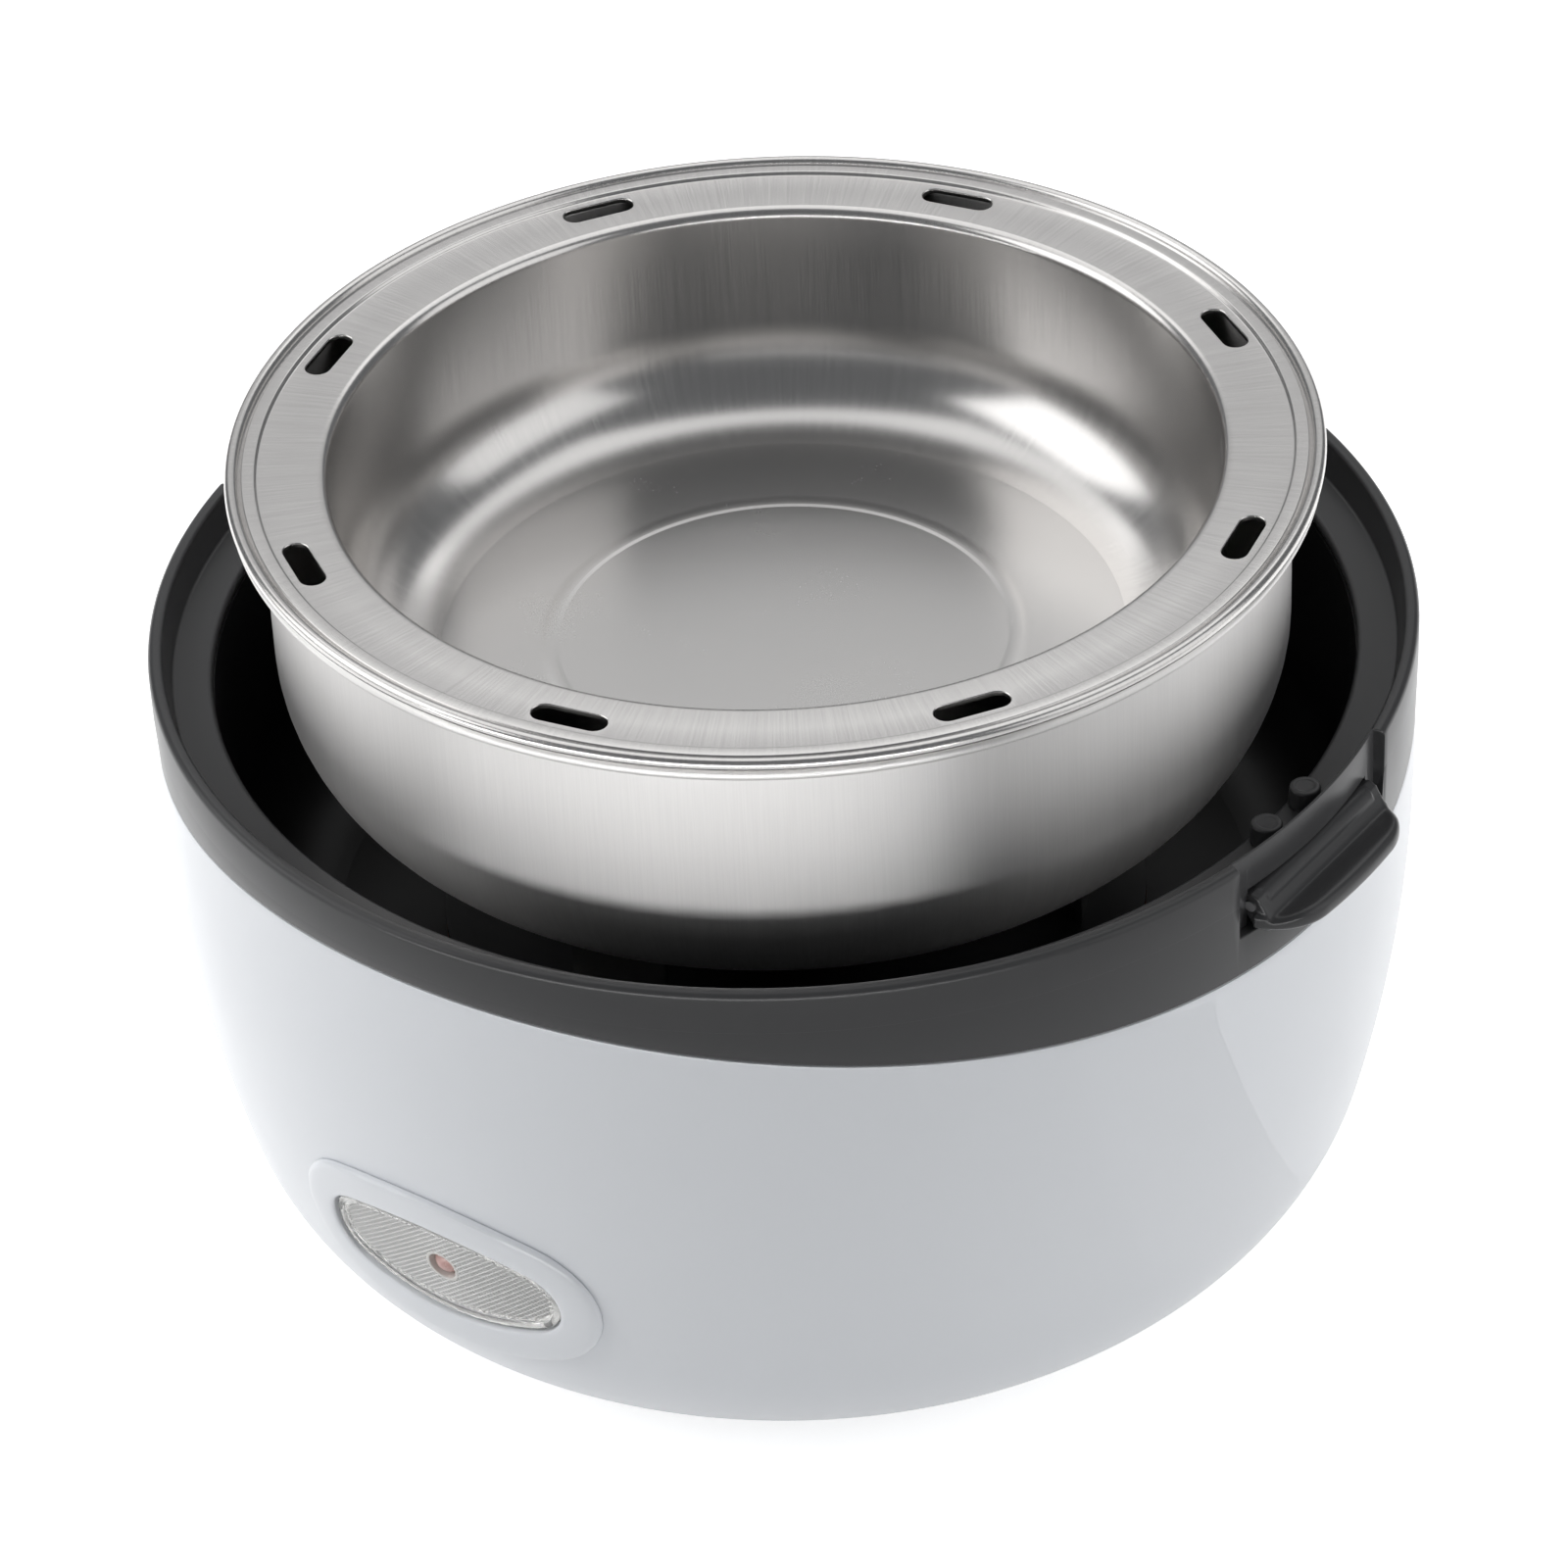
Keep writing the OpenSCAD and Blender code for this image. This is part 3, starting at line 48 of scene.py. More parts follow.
# ---------- sizes in millimetres ----------
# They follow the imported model. The lens's outline is 0.3 mm longer and 0.6 mm higher here, and
# COVER_R is the radius of the opening that the base cover sits in.
RIM_Z = 108.0
RIM_R = 100.0
LEDGE_Z = 102.0
LEDGE_R = 97.0
WELL_R = 90.2
SHELL_R = 99.7
WAVE_LOW = 87.3
WAVE_R = 441.67
SIDE_Z = 82.0
SIDE_X = -137.3
SIDE_R = 237.0
CORNER_X = 62.516
CORNER_Z = 34.0
CORNER_R = 31.5
MEET_Z = 26.642
COVER_R = 69.9
SHELL_T = 2.5
HINGE_X = 97.4
HINGE_Z = 98.8
RECESS_R = 98.2
RECESS_Y = 20.7
SLOT_Y = 17.3
SLOT_X = 94.9
SLOT_TOP = 101.3
SHELF_Z = 94.9
LENS_Z = 39.5
LENS_L, LENS_H, LENS_END = 43.8, 19.8, 7.4
BEZEL_W = 6.3

# Limits of the geometry tools: shortest side and straightest corner that is still rounded, and
# the distances in metres at which points merge and thin faces go
SHORT_SIDE = 1e-5
STRAIGHT_COS = 0.99995
MERGE_DIST = 2e-6
THIN_DIST = 1e-6


# ---------- small geometry tools ----------

def rounded(path, n=4):
    """An open path of (x, z, radius) corners as plain points.

    Each rounded corner gives n + 1 points, also where it is straight, so that columns match.
    """
    out = []
    last = len(path) - 1
    for i, (x, z, r) in enumerate(path):
        if r <= 0 or i in (0, last):
            out.append((x, z))
            continue
        p = Vector((x, z))
        a = Vector(path[i - 1][:2]) - p
        b = Vector(path[i + 1][:2]) - p
        if min(a.length, b.length) < SHORT_SIDE:
            out += [(x, z)] * (n + 1)
            continue
        la, lb = a.length, b.length
        a.normalize()
        b.normalize()
        cos = max(-1.0, min(1.0, a.dot(b)))
        if abs(cos) > STRAIGHT_COS:
            out += [(x, z)] * (n + 1)
            continue
        half = math.acos(cos) / 2
        t = min(r / math.tan(half), la * 0.49, lb * 0.49)
        centre = p + (a + b).normalized() * (t / math.cos(half))
        start = p + a * t - centre
        sweep = start.angle_signed(p + b * t - centre)
        for k in range(n + 1):
            v = start.copy()
            v.rotate(Matrix.Rotation(-sweep * k / n, 2))
            out.append(tuple(centre + v))
    return out


def arc(cx, cz, r, start, end, n):
    """Points of an arc, from start to end in degrees."""
    return [(cx + r * math.cos(math.radians(start + (end - start) * k / n)),
             cz + r * math.sin(math.radians(start + (end - start) * k / n))) for k in range(n + 1)]


def new_object(name, verts, faces, sharp=32):
    """A closed mesh from points in millimetres, with outward faces, smooth up to an angle."""
    mesh = bpy.data.meshes.new(name)
    mesh.from_pydata([(x * MM, y * MM, z * MM) for x, y, z in verts], [], faces)
    settle(mesh, sharp)
    obj = bpy.data.objects.new(name, mesh)
    bpy.context.scene.collection.objects.link(obj)
    return obj


def settle(mesh, sharp):
    """Merges doubles, turns the faces outward and smooths the mesh up to an angle in degrees."""
    bm = bmesh.new()
    bm.from_mesh(mesh)
    bmesh.ops.remove_doubles(bm, verts=bm.verts, dist=MERGE_DIST)
    bmesh.ops.dissolve_degenerate(bm, edges=bm.edges, dist=THIN_DIST)
    bmesh.ops.recalc_face_normals(bm, faces=bm.faces)
    for f in bm.faces:
        f.smooth = True
    bm.to_mesh(mesh)
    bm.free()
    mesh.set_sharp_from_angle(angle=math.radians(sharp))


def loft(name, columns, wrap=True, sharp=32):
    """Mesh through closed columns of points of one length, in a ring or capped at both ends."""
    rows = len(columns[0])
    verts = [p for c in columns for p in c]
    faces = []
    for i in range(len(columns) if wrap else len(columns) - 1):
        k = (i + 1) % len(columns)
        for j in range(rows):
            m = (j + 1) % rows
            faces.append((i * rows + j, k * rows + j, k * rows + m, i * rows + m))
    if not wrap:
        faces.append(tuple(range(rows)))
        faces.append(tuple((len(columns) - 1) * rows + j for j in reversed(range(rows))))
    return new_object(name, verts, faces, sharp)


def lathe(name, profile, steps=256, sharp=32):
    """Body of revolution about Z from a closed profile of (radius, z)."""
    columns = []
    for i in range(steps):
        a = 2 * math.pi * i / steps
        columns.append([(r * math.cos(a), r * math.sin(a), z) for r, z in profile])
    return loft(name, columns, sharp=sharp)


def place(obj, matrix):
    """Moves the points of obj, so that its own frame stays the base's."""
    obj.data.transform(matrix)
    return obj


def join(obj, *others):
    """Adds the meshes of others to obj, as shells of one piece."""
    bm = bmesh.new()
    for o in (obj, *others):
        bm.from_mesh(o.data)
    bm.to_mesh(obj.data)
    bm.free()
    for o in others:
        bpy.data.objects.remove(o)
    return obj


def carve(obj, *tools, operation="DIFFERENCE", sharp=32):
    """Exact boolean of obj with each tool, applied to its mesh."""
    for t in tools:
        mod = obj.modifiers.new("carve", "BOOLEAN")
        mod.operation = operation
        mod.solver = "EXACT"
        mod.object = t
    graph = bpy.context.evaluated_depsgraph_get()
    mesh = bpy.data.meshes.new_from_object(obj.evaluated_get(graph))
    obj.modifiers.clear()
    obj.data = mesh
    for t in tools:
        bpy.data.objects.remove(t)
    settle(mesh, sharp)
    return obj


def prism(name, outline, low, high):
    """Upright prism over an outline of (x, y)."""
    return ring_stack(name, [[(x, y, z) for x, y in outline] for z in (low, high)])


def ring_stack(name, rings, sharp=32):
    """Solid through a stack of closed rings of points, capped at both ends."""
    n = len(rings[0])
    verts = [p for r in rings for p in r]
    faces = [tuple(reversed(range(n))), tuple(range((len(rings) - 1) * n, len(rings) * n))]
    for k in range(len(rings) - 1):
        for i in range(n):
            j = (i + 1) % n
            faces.append((k * n + i, k * n + j, (k + 1) * n + j, (k + 1) * n + i))
    return new_object(name, verts, faces, sharp)


def finish(obj, body, material, slot, *nodes):
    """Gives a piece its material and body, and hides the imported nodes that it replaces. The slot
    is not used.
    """
    obj.data.materials.clear()
    obj.data.materials.append(material)
    if nodes:
        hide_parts(*nodes)
    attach(obj, body)
    return obj


# ---------- materials ----------

# Range that holds most values of a noise texture
NOISE_SPAN = (0.3, 0.7)
# Scale of the streaks of drawn steel round the axis, across it and along it
STREAKS = (330.0, 60.0, 60.0)
STREAK_SPAN = (0.35, 0.65)
ROUGH_PER_STREAK = 2.4


class Shader:
    """A node material with a Principled shader and short ways to add procedural detail."""

    def __init__(self, name, color, rough, metal=0.0, **sockets):
        self.mat = bpy.data.materials.new(name)
        self.mat.use_nodes = True
        self.tree = self.mat.node_tree
        self.p = self.tree.nodes["Principled BSDF"]
        self.p.inputs["Base Color"].default_value = (*color, 1.0)
        self.p.inputs["Roughness"].default_value = rough
        self.p.inputs["Metallic"].default_value = metal
        for key, value in sockets.items():
            self.p.inputs[key.replace("_", " ")].default_value = value
        self.coord = self.node("ShaderNodeTexCoord").outputs["Object"]

    def node(self, kind, **values):
        n = self.tree.nodes.new(kind)
        for key, value in values.items():
            if key in n.inputs:
                n.inputs[key].default_value = value
            else:
                setattr(n, key, value)
        return n

    def link(self, a, b):
        self.tree.links.new(a, b)

    def math(self, operation, a, b=None):
        n = self.node("ShaderNodeMath", operation=operation)
        for i, v in enumerate((a, b)):
            if v is None:
                continue
            if isinstance(v, (int, float)):
                n.inputs[i].default_value = v
            else:
                self.link(v, n.inputs[i])
        return n.outputs[0]

    def noise(self, scale, detail=3.0, rough=0.55, vector=None):
        n = self.node("ShaderNodeTexNoise", Scale=scale, Detail=detail, Roughness=rough)
        self.link(vector or self.coord, n.inputs["Vector"])
        return n.outputs["Fac"]

    def span(self, value, low, high, source=(0.0, 1.0)):
        n = self.node("ShaderNodeMapRange")
        n.inputs["From Min"].default_value, n.inputs["From Max"].default_value = source
        n.inputs["To Min"].default_value, n.inputs["To Max"].default_value = low, high
        self.link(value, n.inputs["Value"])
        return n.outputs["Result"]

    def tint(self, value, dark, light):
        n = self.node("ShaderNodeMix", data_type="RGBA")
        for socket in n.inputs:
            if socket.type == "RGBA" and socket.name == "A":
                socket.default_value = (*dark, 1.0)
            if socket.type == "RGBA" and socket.name == "B":
                socket.default_value = (*light, 1.0)
        self.link(value, n.inputs[0])
        self.link([o for o in n.outputs if o.type == "RGBA"][0], self.p.inputs["Base Color"])

    def rough(self, value):
        self.link(value, self.p.inputs["Roughness"])

    def bump(self, height, distance):
        n = self.node("ShaderNodeBump", Strength=1.0, Distance=distance)
        self.link(height, n.inputs["Height"])
        self.link(n.outputs["Normal"], self.p.inputs["Normal"])

    def polar(self, around, across, along):
        """Coordinates stretched round the Z axis, for turned and brushed surfaces."""
        parts = self.node("ShaderNodeSeparateXYZ")
        self.link(self.coord, parts.inputs[0])
        x, y, z = parts.outputs
        angle = self.math("ARCTAN2", y, x)
        radius = self.math("SQRT", self.math("ADD", self.math("MULTIPLY", x, x),
                                             self.math("MULTIPLY", y, y)))
        out = self.node("ShaderNodeCombineXYZ")
        self.link(self.math("MULTIPLY", angle, around), out.inputs[0])
        self.link(self.math("MULTIPLY", radius, across), out.inputs[1])
        self.link(self.math("MULTIPLY", z, along), out.inputs[2])
        return out.outputs[0]


def plastic(name, color, rough, grain, depth, gloss=False, spec=0.5):
    """Moulded plastic: slight cloudiness, uneven gloss and a fine grain."""
    s = Shader(name, color, rough, Specular_IOR_Level=spec)
    cloud = s.noise(14.0, 2.0)
    swing = 0.008 if gloss else 0.03
    s.tint(s.span(cloud, 0.0, 1.0, NOISE_SPAN), [c * (1 - swing) for c in color],
           [min(1.0, c * (1 + swing)) for c in color])
    s.rough(s.span(s.noise(60.0, 5.0), rough * 0.92, rough * 1.08, NOISE_SPAN))
    s.bump(s.noise(grain, 2.0, 0.6), depth)
    if gloss:
        s.p.inputs["Coat Weight"].default_value = 0.2
        s.p.inputs["Coat Roughness"].default_value = 0.12
    return s.mat


def steel(name, color, rough, aniso, streak=0.05, depth=1.5e-6, inner=0.0, outer=0.001):
    """Drawn steel: reflections spread up and down the wall, with faint streaks along it.

    Streaks fade in between the radii inner and outer, in metres; inside them the grain is plain.
    """
    s = Shader(name, color, rough, 1.0, Anisotropic=aniso, Anisotropic_Rotation=0.25)
    tangent = s.node("ShaderNodeTangent", direction_type="RADIAL", axis="Z")
    s.link(tangent.outputs[0], s.p.inputs["Tangent"])
    lines = s.noise(1.0, 3.0, 0.6, s.polar(*STREAKS))
    cloud = s.noise(55.0, 3.0)
    parts = s.node("ShaderNodeSeparateXYZ")
    s.link(s.coord, parts.inputs[0])
    far = s.node("ShaderNodeVectorMath", operation="LENGTH")
    flat = s.node("ShaderNodeCombineXYZ")
    s.link(parts.outputs[0], flat.inputs[0])
    s.link(parts.outputs[1], flat.inputs[1])
    s.link(flat.outputs[0], far.inputs[0])
    mask = s.span(far.outputs["Value"], 0.0, 1.0, (inner, outer))
    fine = s.noise(2600.0, 2.0)
    plain = s.math("ADD", s.math("MULTIPLY", fine, 0.5), s.math("MULTIPLY", cloud, 0.5))
    grain = s.math("ADD", s.math("MULTIPLY", lines, mask),
                   s.math("MULTIPLY", plain, s.math("SUBTRACT", 1.0, mask)))
    s.rough(s.span(grain, rough * (1 - ROUGH_PER_STREAK * streak),
                   rough * (1 + ROUGH_PER_STREAK * streak), NOISE_SPAN))
    s.tint(s.span(grain, 0.0, 1.0, STREAK_SPAN), [c * (1 - streak) for c in color],
           [min(1.0, c * (1 + streak)) for c in color])
    s.bump(grain, depth)
    return s.mat


def metal(name, color, rough, scale=400.0):
    """Small plated or cast metal part: blotchy gloss and faint scratches."""
    s = Shader(name, color, rough, 1.0)
    s.rough(s.span(s.noise(scale, 4.0), rough * 0.7, rough * 1.4, NOISE_SPAN))
    s.bump(s.noise(scale * 3.0, 3.0), 6e-6)
    return s.mat


def rubber(name, color, rough=0.75):
    """Matt rubber with a coarse grain."""
    s = Shader(name, color, rough, Specular_IOR_Level=0.35)
    s.rough(s.span(s.noise(300.0, 4.0), rough * 0.85, rough * 1.1, NOISE_SPAN))
    s.bump(s.noise(1800.0, 3.0), 2.5e-5)
    return s.mat


def clear(name, color, rough, ior=1.49, weight=0.9):
    """Clear or tinted plastic or glass, a little uneven."""
    s = Shader(name, color, rough, IOR=ior, Transmission_Weight=weight)
    s.rough(s.span(s.noise(120.0, 3.0), rough * 0.7, rough * 1.5, NOISE_SPAN))
    s.bump(s.noise(160.0, 2.0), 2e-6)
    return s.mat


WHITE = plastic("white_shell_plastic", (0.79, 0.81, 0.84), 0.34, 2600.0, 2e-6, gloss=True)
GREY = plastic("grey_collar_plastic", (0.045, 0.045, 0.0465), 0.30, 3400.0, 6e-6, spec=0.34)
# Near black for the well liner: painted shade of the deep, narrow well, where the liner is most
# likely the collar's grey plastic.
WELL_SHADE_BLACK = plastic("well_liner_painted_shade", (0.008, 0.008, 0.0085), 0.42, 2200.0, 1.0e-5)
STEEL = steel("dish_steel", (0.69, 0.675, 0.662), 0.24, 0.55, streak=0.035,
              depth=1.2e-6, inner=0.045, outer=0.062)
BOWL_STEEL = steel("bowl_steel", (0.78, 0.768, 0.757), 0.42, 0.85, streak=0.02, depth=8e-7)
FLOOR_STEEL = steel("dish_floor_steel", (0.60, 0.59, 0.58), 0.27, 0.0, streak=0.008,
                    depth=5e-8, inner=0.2, outer=0.3)
LENS = clear("clear_lens_plastic", (0.93, 0.93, 0.92), 0.06)
PRISM = plastic("lens_prism_plastic", (0.9, 0.895, 0.885), 0.2, 2600.0, 3e-6)
# Dark floors of the lens's pits: painted shade
PIT_SHADE = plastic("lens_pit_painted_shade", (0.1, 0.097, 0.09), 0.35, 2600.0, 6e-6)
RING = plastic("lamp_ring_plastic", (0.72, 0.7, 0.67), 0.25, 2600.0, 3e-6)
LAMP = clear("lamp_glass", (0.8, 0.5, 0.46), 0.2, weight=0.3)

BY_SLOT = {
    "white_shell": WHITE,
    "grey_collar": GREY,
    "black_liner": WELL_SHADE_BLACK,
    "bright_steel": STEEL,
    "steel_fixing": metal("fixing_steel", (0.55, 0.55, 0.56), 0.32),
    "plate_metal": plastic("plate_dark_coat", (0.05, 0.05, 0.052), 0.42, 2400.0, 1e-5),
    "seal_rubber": rubber("seal_rubber_finish", (0.45, 0.12, 0.08)),
    "foot_rubber": rubber("foot_rubber_finish", (0.03, 0.03, 0.03)),
    "heater_case": metal("heater_case_metal", (0.65, 0.65, 0.66), 0.45, 250.0),
    "control_plastic": plastic("control_plastic_finish", (0.03, 0.022, 0.018), 0.4, 2000.0, 1e-5),
    "brass_part": metal("brass_finish", (0.60, 0.47, 0.22), 0.3),
    "inlet_plastic": plastic("inlet_plastic_finish", (0.012, 0.012, 0.012), 0.38, 2400.0, 1.2e-5),
    "clear_lens": LENS,
    "lamp_glass": LAMP,
    "lamp_cup": plastic("lamp_cup_plastic", (0.66, 0.66, 0.64), 0.5, 2000.0, 1e-5),
    "wire_brown": plastic("wire_brown_finish", (0.16, 0.07, 0.03), 0.45, 2000.0, 1e-5),
    "wire_blue": plastic("wire_blue_finish", (0.03, 0.10, 0.35), 0.45, 2000.0, 1e-5),
    "wire_green": plastic("wire_green_finish", (0.10, 0.32, 0.04), 0.45, 2000.0, 1e-5),
    "wire_red": plastic("wire_red_finish", (0.50, 0.04, 0.03), 0.45, 2000.0, 1e-5),
    "wire_white": plastic("wire_white_finish", (0.60, 0.60, 0.55), 0.45, 2000.0, 1e-5),
}
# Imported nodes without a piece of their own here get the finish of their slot
for part in frame["record"]["subparts"]:
    cad = NODES[part["node"]]
    cad.data.materials.clear()
    cad.data.materials.append(BY_SLOT[part["material_slot"]])


# ---------- housing ----------

WAVE_GAP = 0.2
TOP_EDGE, TOP_EDGE_MID = 0.35, 0.1
LOW_EDGE = 0.3
SIDE_ROWS, CORNER_ROWS = 44, 24
# Lip at the underside, inside which the base cover sits
LIP_LOW_Z, LIP_TOP_Z, LIP_W, LIP_T = 5.3, 7.7, 1.2, 2.8

def wave_z(y, gap=0.0):
    """Height of the wavy border between collar and housing at a distance y to the front or back."""
    return WAVE_LOW + WAVE_R - math.sqrt((WAVE_R + gap) ** 2 - y * y)


def shell_r(z, inset=0.0):
    """Outer radius of the housing at height z, less an inset."""
    if z >= SIDE_Z:
        return SHELL_R - inset
    if z >= MEET_Z:
        return SIDE_X + math.sqrt((SIDE_R - inset) ** 2 - (z - SIDE_Z) ** 2)
    return CORNER_X + math.sqrt(max(0.0, (CORNER_R - inset) ** 2 - (z - CORNER_Z) ** 2))


def shell_column(a):
    """Closed section of the housing at an angle about Z."""
    top = wave_z(SHELL_R * math.sin(a), WAVE_GAP)
    edge = CORNER_Z - math.sqrt(CORNER_R ** 2 - (COVER_R - CORNER_X) ** 2)
    path = [(SHELL_R - SHELL_T, top), (SHELL_R - TOP_EDGE, top),
            (SHELL_R - TOP_EDGE_MID, top - TOP_EDGE_MID), (SHELL_R, top - TOP_EDGE)]
    for k in range(1, SIDE_ROWS + 1):
        z = top - TOP_EDGE + (MEET_Z - top + TOP_EDGE) * k / SIDE_ROWS
        path.append((shell_r(z), z))
    start = math.asin((MEET_Z - CORNER_Z) / CORNER_R)
    end = -math.acos((COVER_R + LOW_EDGE - CORNER_X) / CORNER_R)
    for k in range(1, CORNER_ROWS + 1):
        t = start + (end - start) * k / CORNER_ROWS
        path.append((CORNER_X + CORNER_R * math.cos(t), CORNER_Z + CORNER_R * math.sin(t)))
    path += [(COVER_R, edge + LOW_EDGE), (COVER_R, LIP_LOW_Z), (COVER_R - LIP_W, LIP_LOW_Z),
             (COVER_R - LIP_W, LIP_TOP_Z), (COVER_R + LIP_T, LIP_TOP_Z)]
    for z in (12.0, 20.0, 28.0, 40.0, 55.0, 70.0, 82.0):
        path.append((shell_r(z, SHELL_T), z))
    return [(r * math.cos(a), r * math.sin(a), z) for r, z in path]


STEPS = 360
shell = loft("housing_shell", [shell_column(2 * math.pi * i / STEPS) for i in range(STEPS)])


def oval_arcs(l, h, r):
    """Middle of an oval's round end, and the middle and radius of its long arcs."""
    end_x = l / 2 - r
    arc_y = (end_x ** 2 - (h / 2 - r) ** 2) / (h - 2 * r)
    return end_x, arc_y, arc_y + h / 2


def oval(l, h, r, n_long=48, n_end=14):
    """Points and outward normals of an oval of two long arcs and two round ends."""
    end_x, arc_y, big = oval_arcs(l, h, r)
    lean = math.asin(end_x / (big - r))
    out = []

    def add(cx, cy, radius, start, end, n):
        for k in range(n):
            t = start + (end - start) * k / n
            out.append(((cx + radius * math.cos(t), cy + radius * math.sin(t)),
                        (math.cos(t), math.sin(t))))

    up, down = math.pi / 2, -math.pi / 2
    add(end_x, 0, r, down + lean, up - lean, n_end)
    add(0, -arc_y, big, up - lean, up + lean, n_long)
    add(-end_x, 0, r, up + lean, 3 * up - lean, n_end)
    add(0, arc_y, big, 3 * up - lean, 3 * up + lean, n_long)
    return out


LENS_R = shell_r(LENS_Z)
TILT = math.asin((SIDE_Z - LENS_Z) / SIDE_R)
AT_LENS = (Matrix.Translation((0, -LENS_R * MM, LENS_Z * MM))
           @ Matrix.Rotation(math.pi / 2 + TILT, 4, "X"))
# The bezel's face is part of a cylinder that rises this far above the housing's skin
FACE_R = 110.0
FACE_RISE = 1.0
OUTLINE = oval(LENS_L, LENS_H, LENS_END)


def face_z(x):
    """Height of the bezel's face above the lens frame."""
    return FACE_RISE - FACE_R + math.sqrt(FACE_R ** 2 - x * x)


SKIN_STEPS = 12


def skin_z(x, y):
    """Height of the housing's surface above the lens frame."""
    z = 0.0
    for _ in range(SKIN_STEPS):
        p = AT_LENS @ Vector((x * MM, y * MM, z * MM))
        off = math.hypot(p.x, p.y) / MM - shell_r(p.z / MM)
        z -= off
    return z


def offset(s):
    """The lens's outline, grown by s."""
    return [(p[0] + n[0] * s, p[1] + n[1] * s) for p, n in OUTLINE]


BEZEL_LOW = -3.3
# Distance outside the lens's outline and drop below the face, from the crown to the opening
BEZEL_MOUTH = ((2.6, -0.05), (1.7, -0.02), (0.9, 0.02), (0.45, 0.09), (0.18, 0.22), (0.03, 0.45))


def bezel_column(point, normal):
    """Closed section of the bezel at one point of the lens's outline."""
    (px, py), (nx, ny) = point, normal

    def at(s, z):
        return (px + nx * s, py + ny * s, z)

    def face(s, drop):
        return at(s, face_z(px + nx * s) - drop)

    w = BEZEL_W
    outer = skin_z(px + nx * w, py + ny * w)
    rise = face_z(px + nx * w) - outer
    gap = min(0.2, rise * 0.3)
    column = [at(w - 0.6, outer - 1.0), at(w - 0.4, outer + gap), at(w - 0.04, outer + gap * 1.1),
              at(w, outer + rise * 0.4), at(w - 0.08, outer + rise * 0.62),
              at(w - 0.32, outer + rise * 0.83),
              face(w - 0.8, 0.1), face(w - 1.5, 0.0), face(w - 2.5, -0.05)]
    column += [face(s, drop) for s, drop in BEZEL_MOUTH]
    return column + [at(0.0, face_z(px) - 1.2), at(0.0, BEZEL_LOW), at(2.0, BEZEL_LOW),
                     at(2.0, -1.6)]


HOLE_GROW, HOLE_LOW, HOLE_HIGH = 2.2, -9.0, 12.0
hole = place(prism("hole", offset(HOLE_GROW), HOLE_LOW, HOLE_HIGH), AT_LENS)
carve(shell, hole)

# Pocket for the power inlet at the back: half its width, its lower and upper end, and its floor
POCKET_X, POCKET_LOW, POCKET_HIGH, POCKET_Y = 24.5, 22.0, 45.0, 86.0
POCKET_T = 2.5
OUTSIDE_Y = 120
# Half the width and the height of the opening for the inlet's body
BODY_X, BODY_LOW, BODY_HIGH = 14.0, 23.0, 44.0
CORE_R, CORE_LOW, CORE_HIGH = 74, 8, 60
CORE_LEVELS = (10, 14, 18, 22, 26, 30, 34, 38, 42, 46, 50, 56, 60)


def block(name, low, high):
    """Box between two opposite corners."""
    (x0, y0, z0), (x1, y1, z1) = low, high
    return prism(name, [(x0, y0), (x1, y0), (x1, y1), (x0, y1)], z0, z1)


carve(shell, block("pocket", (-POCKET_X, 80, POCKET_LOW), (POCKET_X, OUTSIDE_Y, POCKET_HIGH)))
walls = block("walls", (-POCKET_X - POCKET_T, POCKET_Y - POCKET_T, POCKET_LOW - POCKET_T),
              (POCKET_X + POCKET_T, 99, POCKET_HIGH + POCKET_T))
core = lathe("core", [(0, CORE_LOW), (CORE_R, CORE_LOW)]
             + [(shell_r(z, 0.4), z) for z in CORE_LEVELS] + [(0, CORE_HIGH)])
carve(walls, core, operation="INTERSECT")
carve(walls,
      block("pocket", (-POCKET_X, POCKET_Y, POCKET_LOW), (POCKET_X, OUTSIDE_Y, POCKET_HIGH)),
      block("body_hole", (-BODY_X, 70, BODY_LOW), (BODY_X, 100, BODY_HIGH)))
join(shell, walls)
finish(shell, "base", WHITE, "white_shell", "housing")

# ---------- indicator ----------
bezel = place(loft("indicator_bezel_ring", [bezel_column(p, n) for p, n in OUTLINE]), AT_LENS)
finish(bezel, "base", WHITE, "white_shell", "indicator_bezel")


def turned(rings):
    """Rings of points as columns for a loft."""
    return [list(column) for column in zip(*rings)]


def lens_rings(levels):
    """Rings along the lens's outline, at (offset, drop below the face)."""
    return [[(x, y, face_z(x) - drop) for x, y in offset(s)] for s, drop in levels]


cover = loft("indicator_lens_cover", turned(lens_rings(
    [(-0.32, 2.9), (-0.32, 1.1), (-0.4, 0.92), (-0.6, 0.82), (-1.2, 0.82), (-1.45, 0.92),
     (-1.6, 1.14), (-2.3, 1.2), (-2.3, 2.9)])))
place(cover, AT_LENS)
finish(cover, "base", LENS, "clear_lens", "indicator_lens")

# Plate of small pits in a lattice, inside the clear margin and round the lamp. The floor of each
# pit is dark: painted shade in the pits of the clear lens.
PITCH_X, PITCH_Y = 1.16, 1.0
PLATE_MARGIN, LAMP_CLEAR, PLATE_DROP = 1.9, 2.6, 1.35
# Rings of one pit: share of the pitch and depth
PIT_RINGS = ((1.0, 0.0), (0.8, 0.02), (0.58, 0.3))
verts, faces, dark = [], [], []


def inside(x, y, margin):
    """Whether a point is inside the lens's outline by more than a margin."""
    end_x, arc_y, big = oval_arcs(LENS_L, LENS_H, LENS_END)
    if math.hypot(x, abs(y) + arc_y) > big - margin:
        return False
    return abs(x) < end_x or math.hypot(abs(x) - end_x, y) < LENS_END - margin


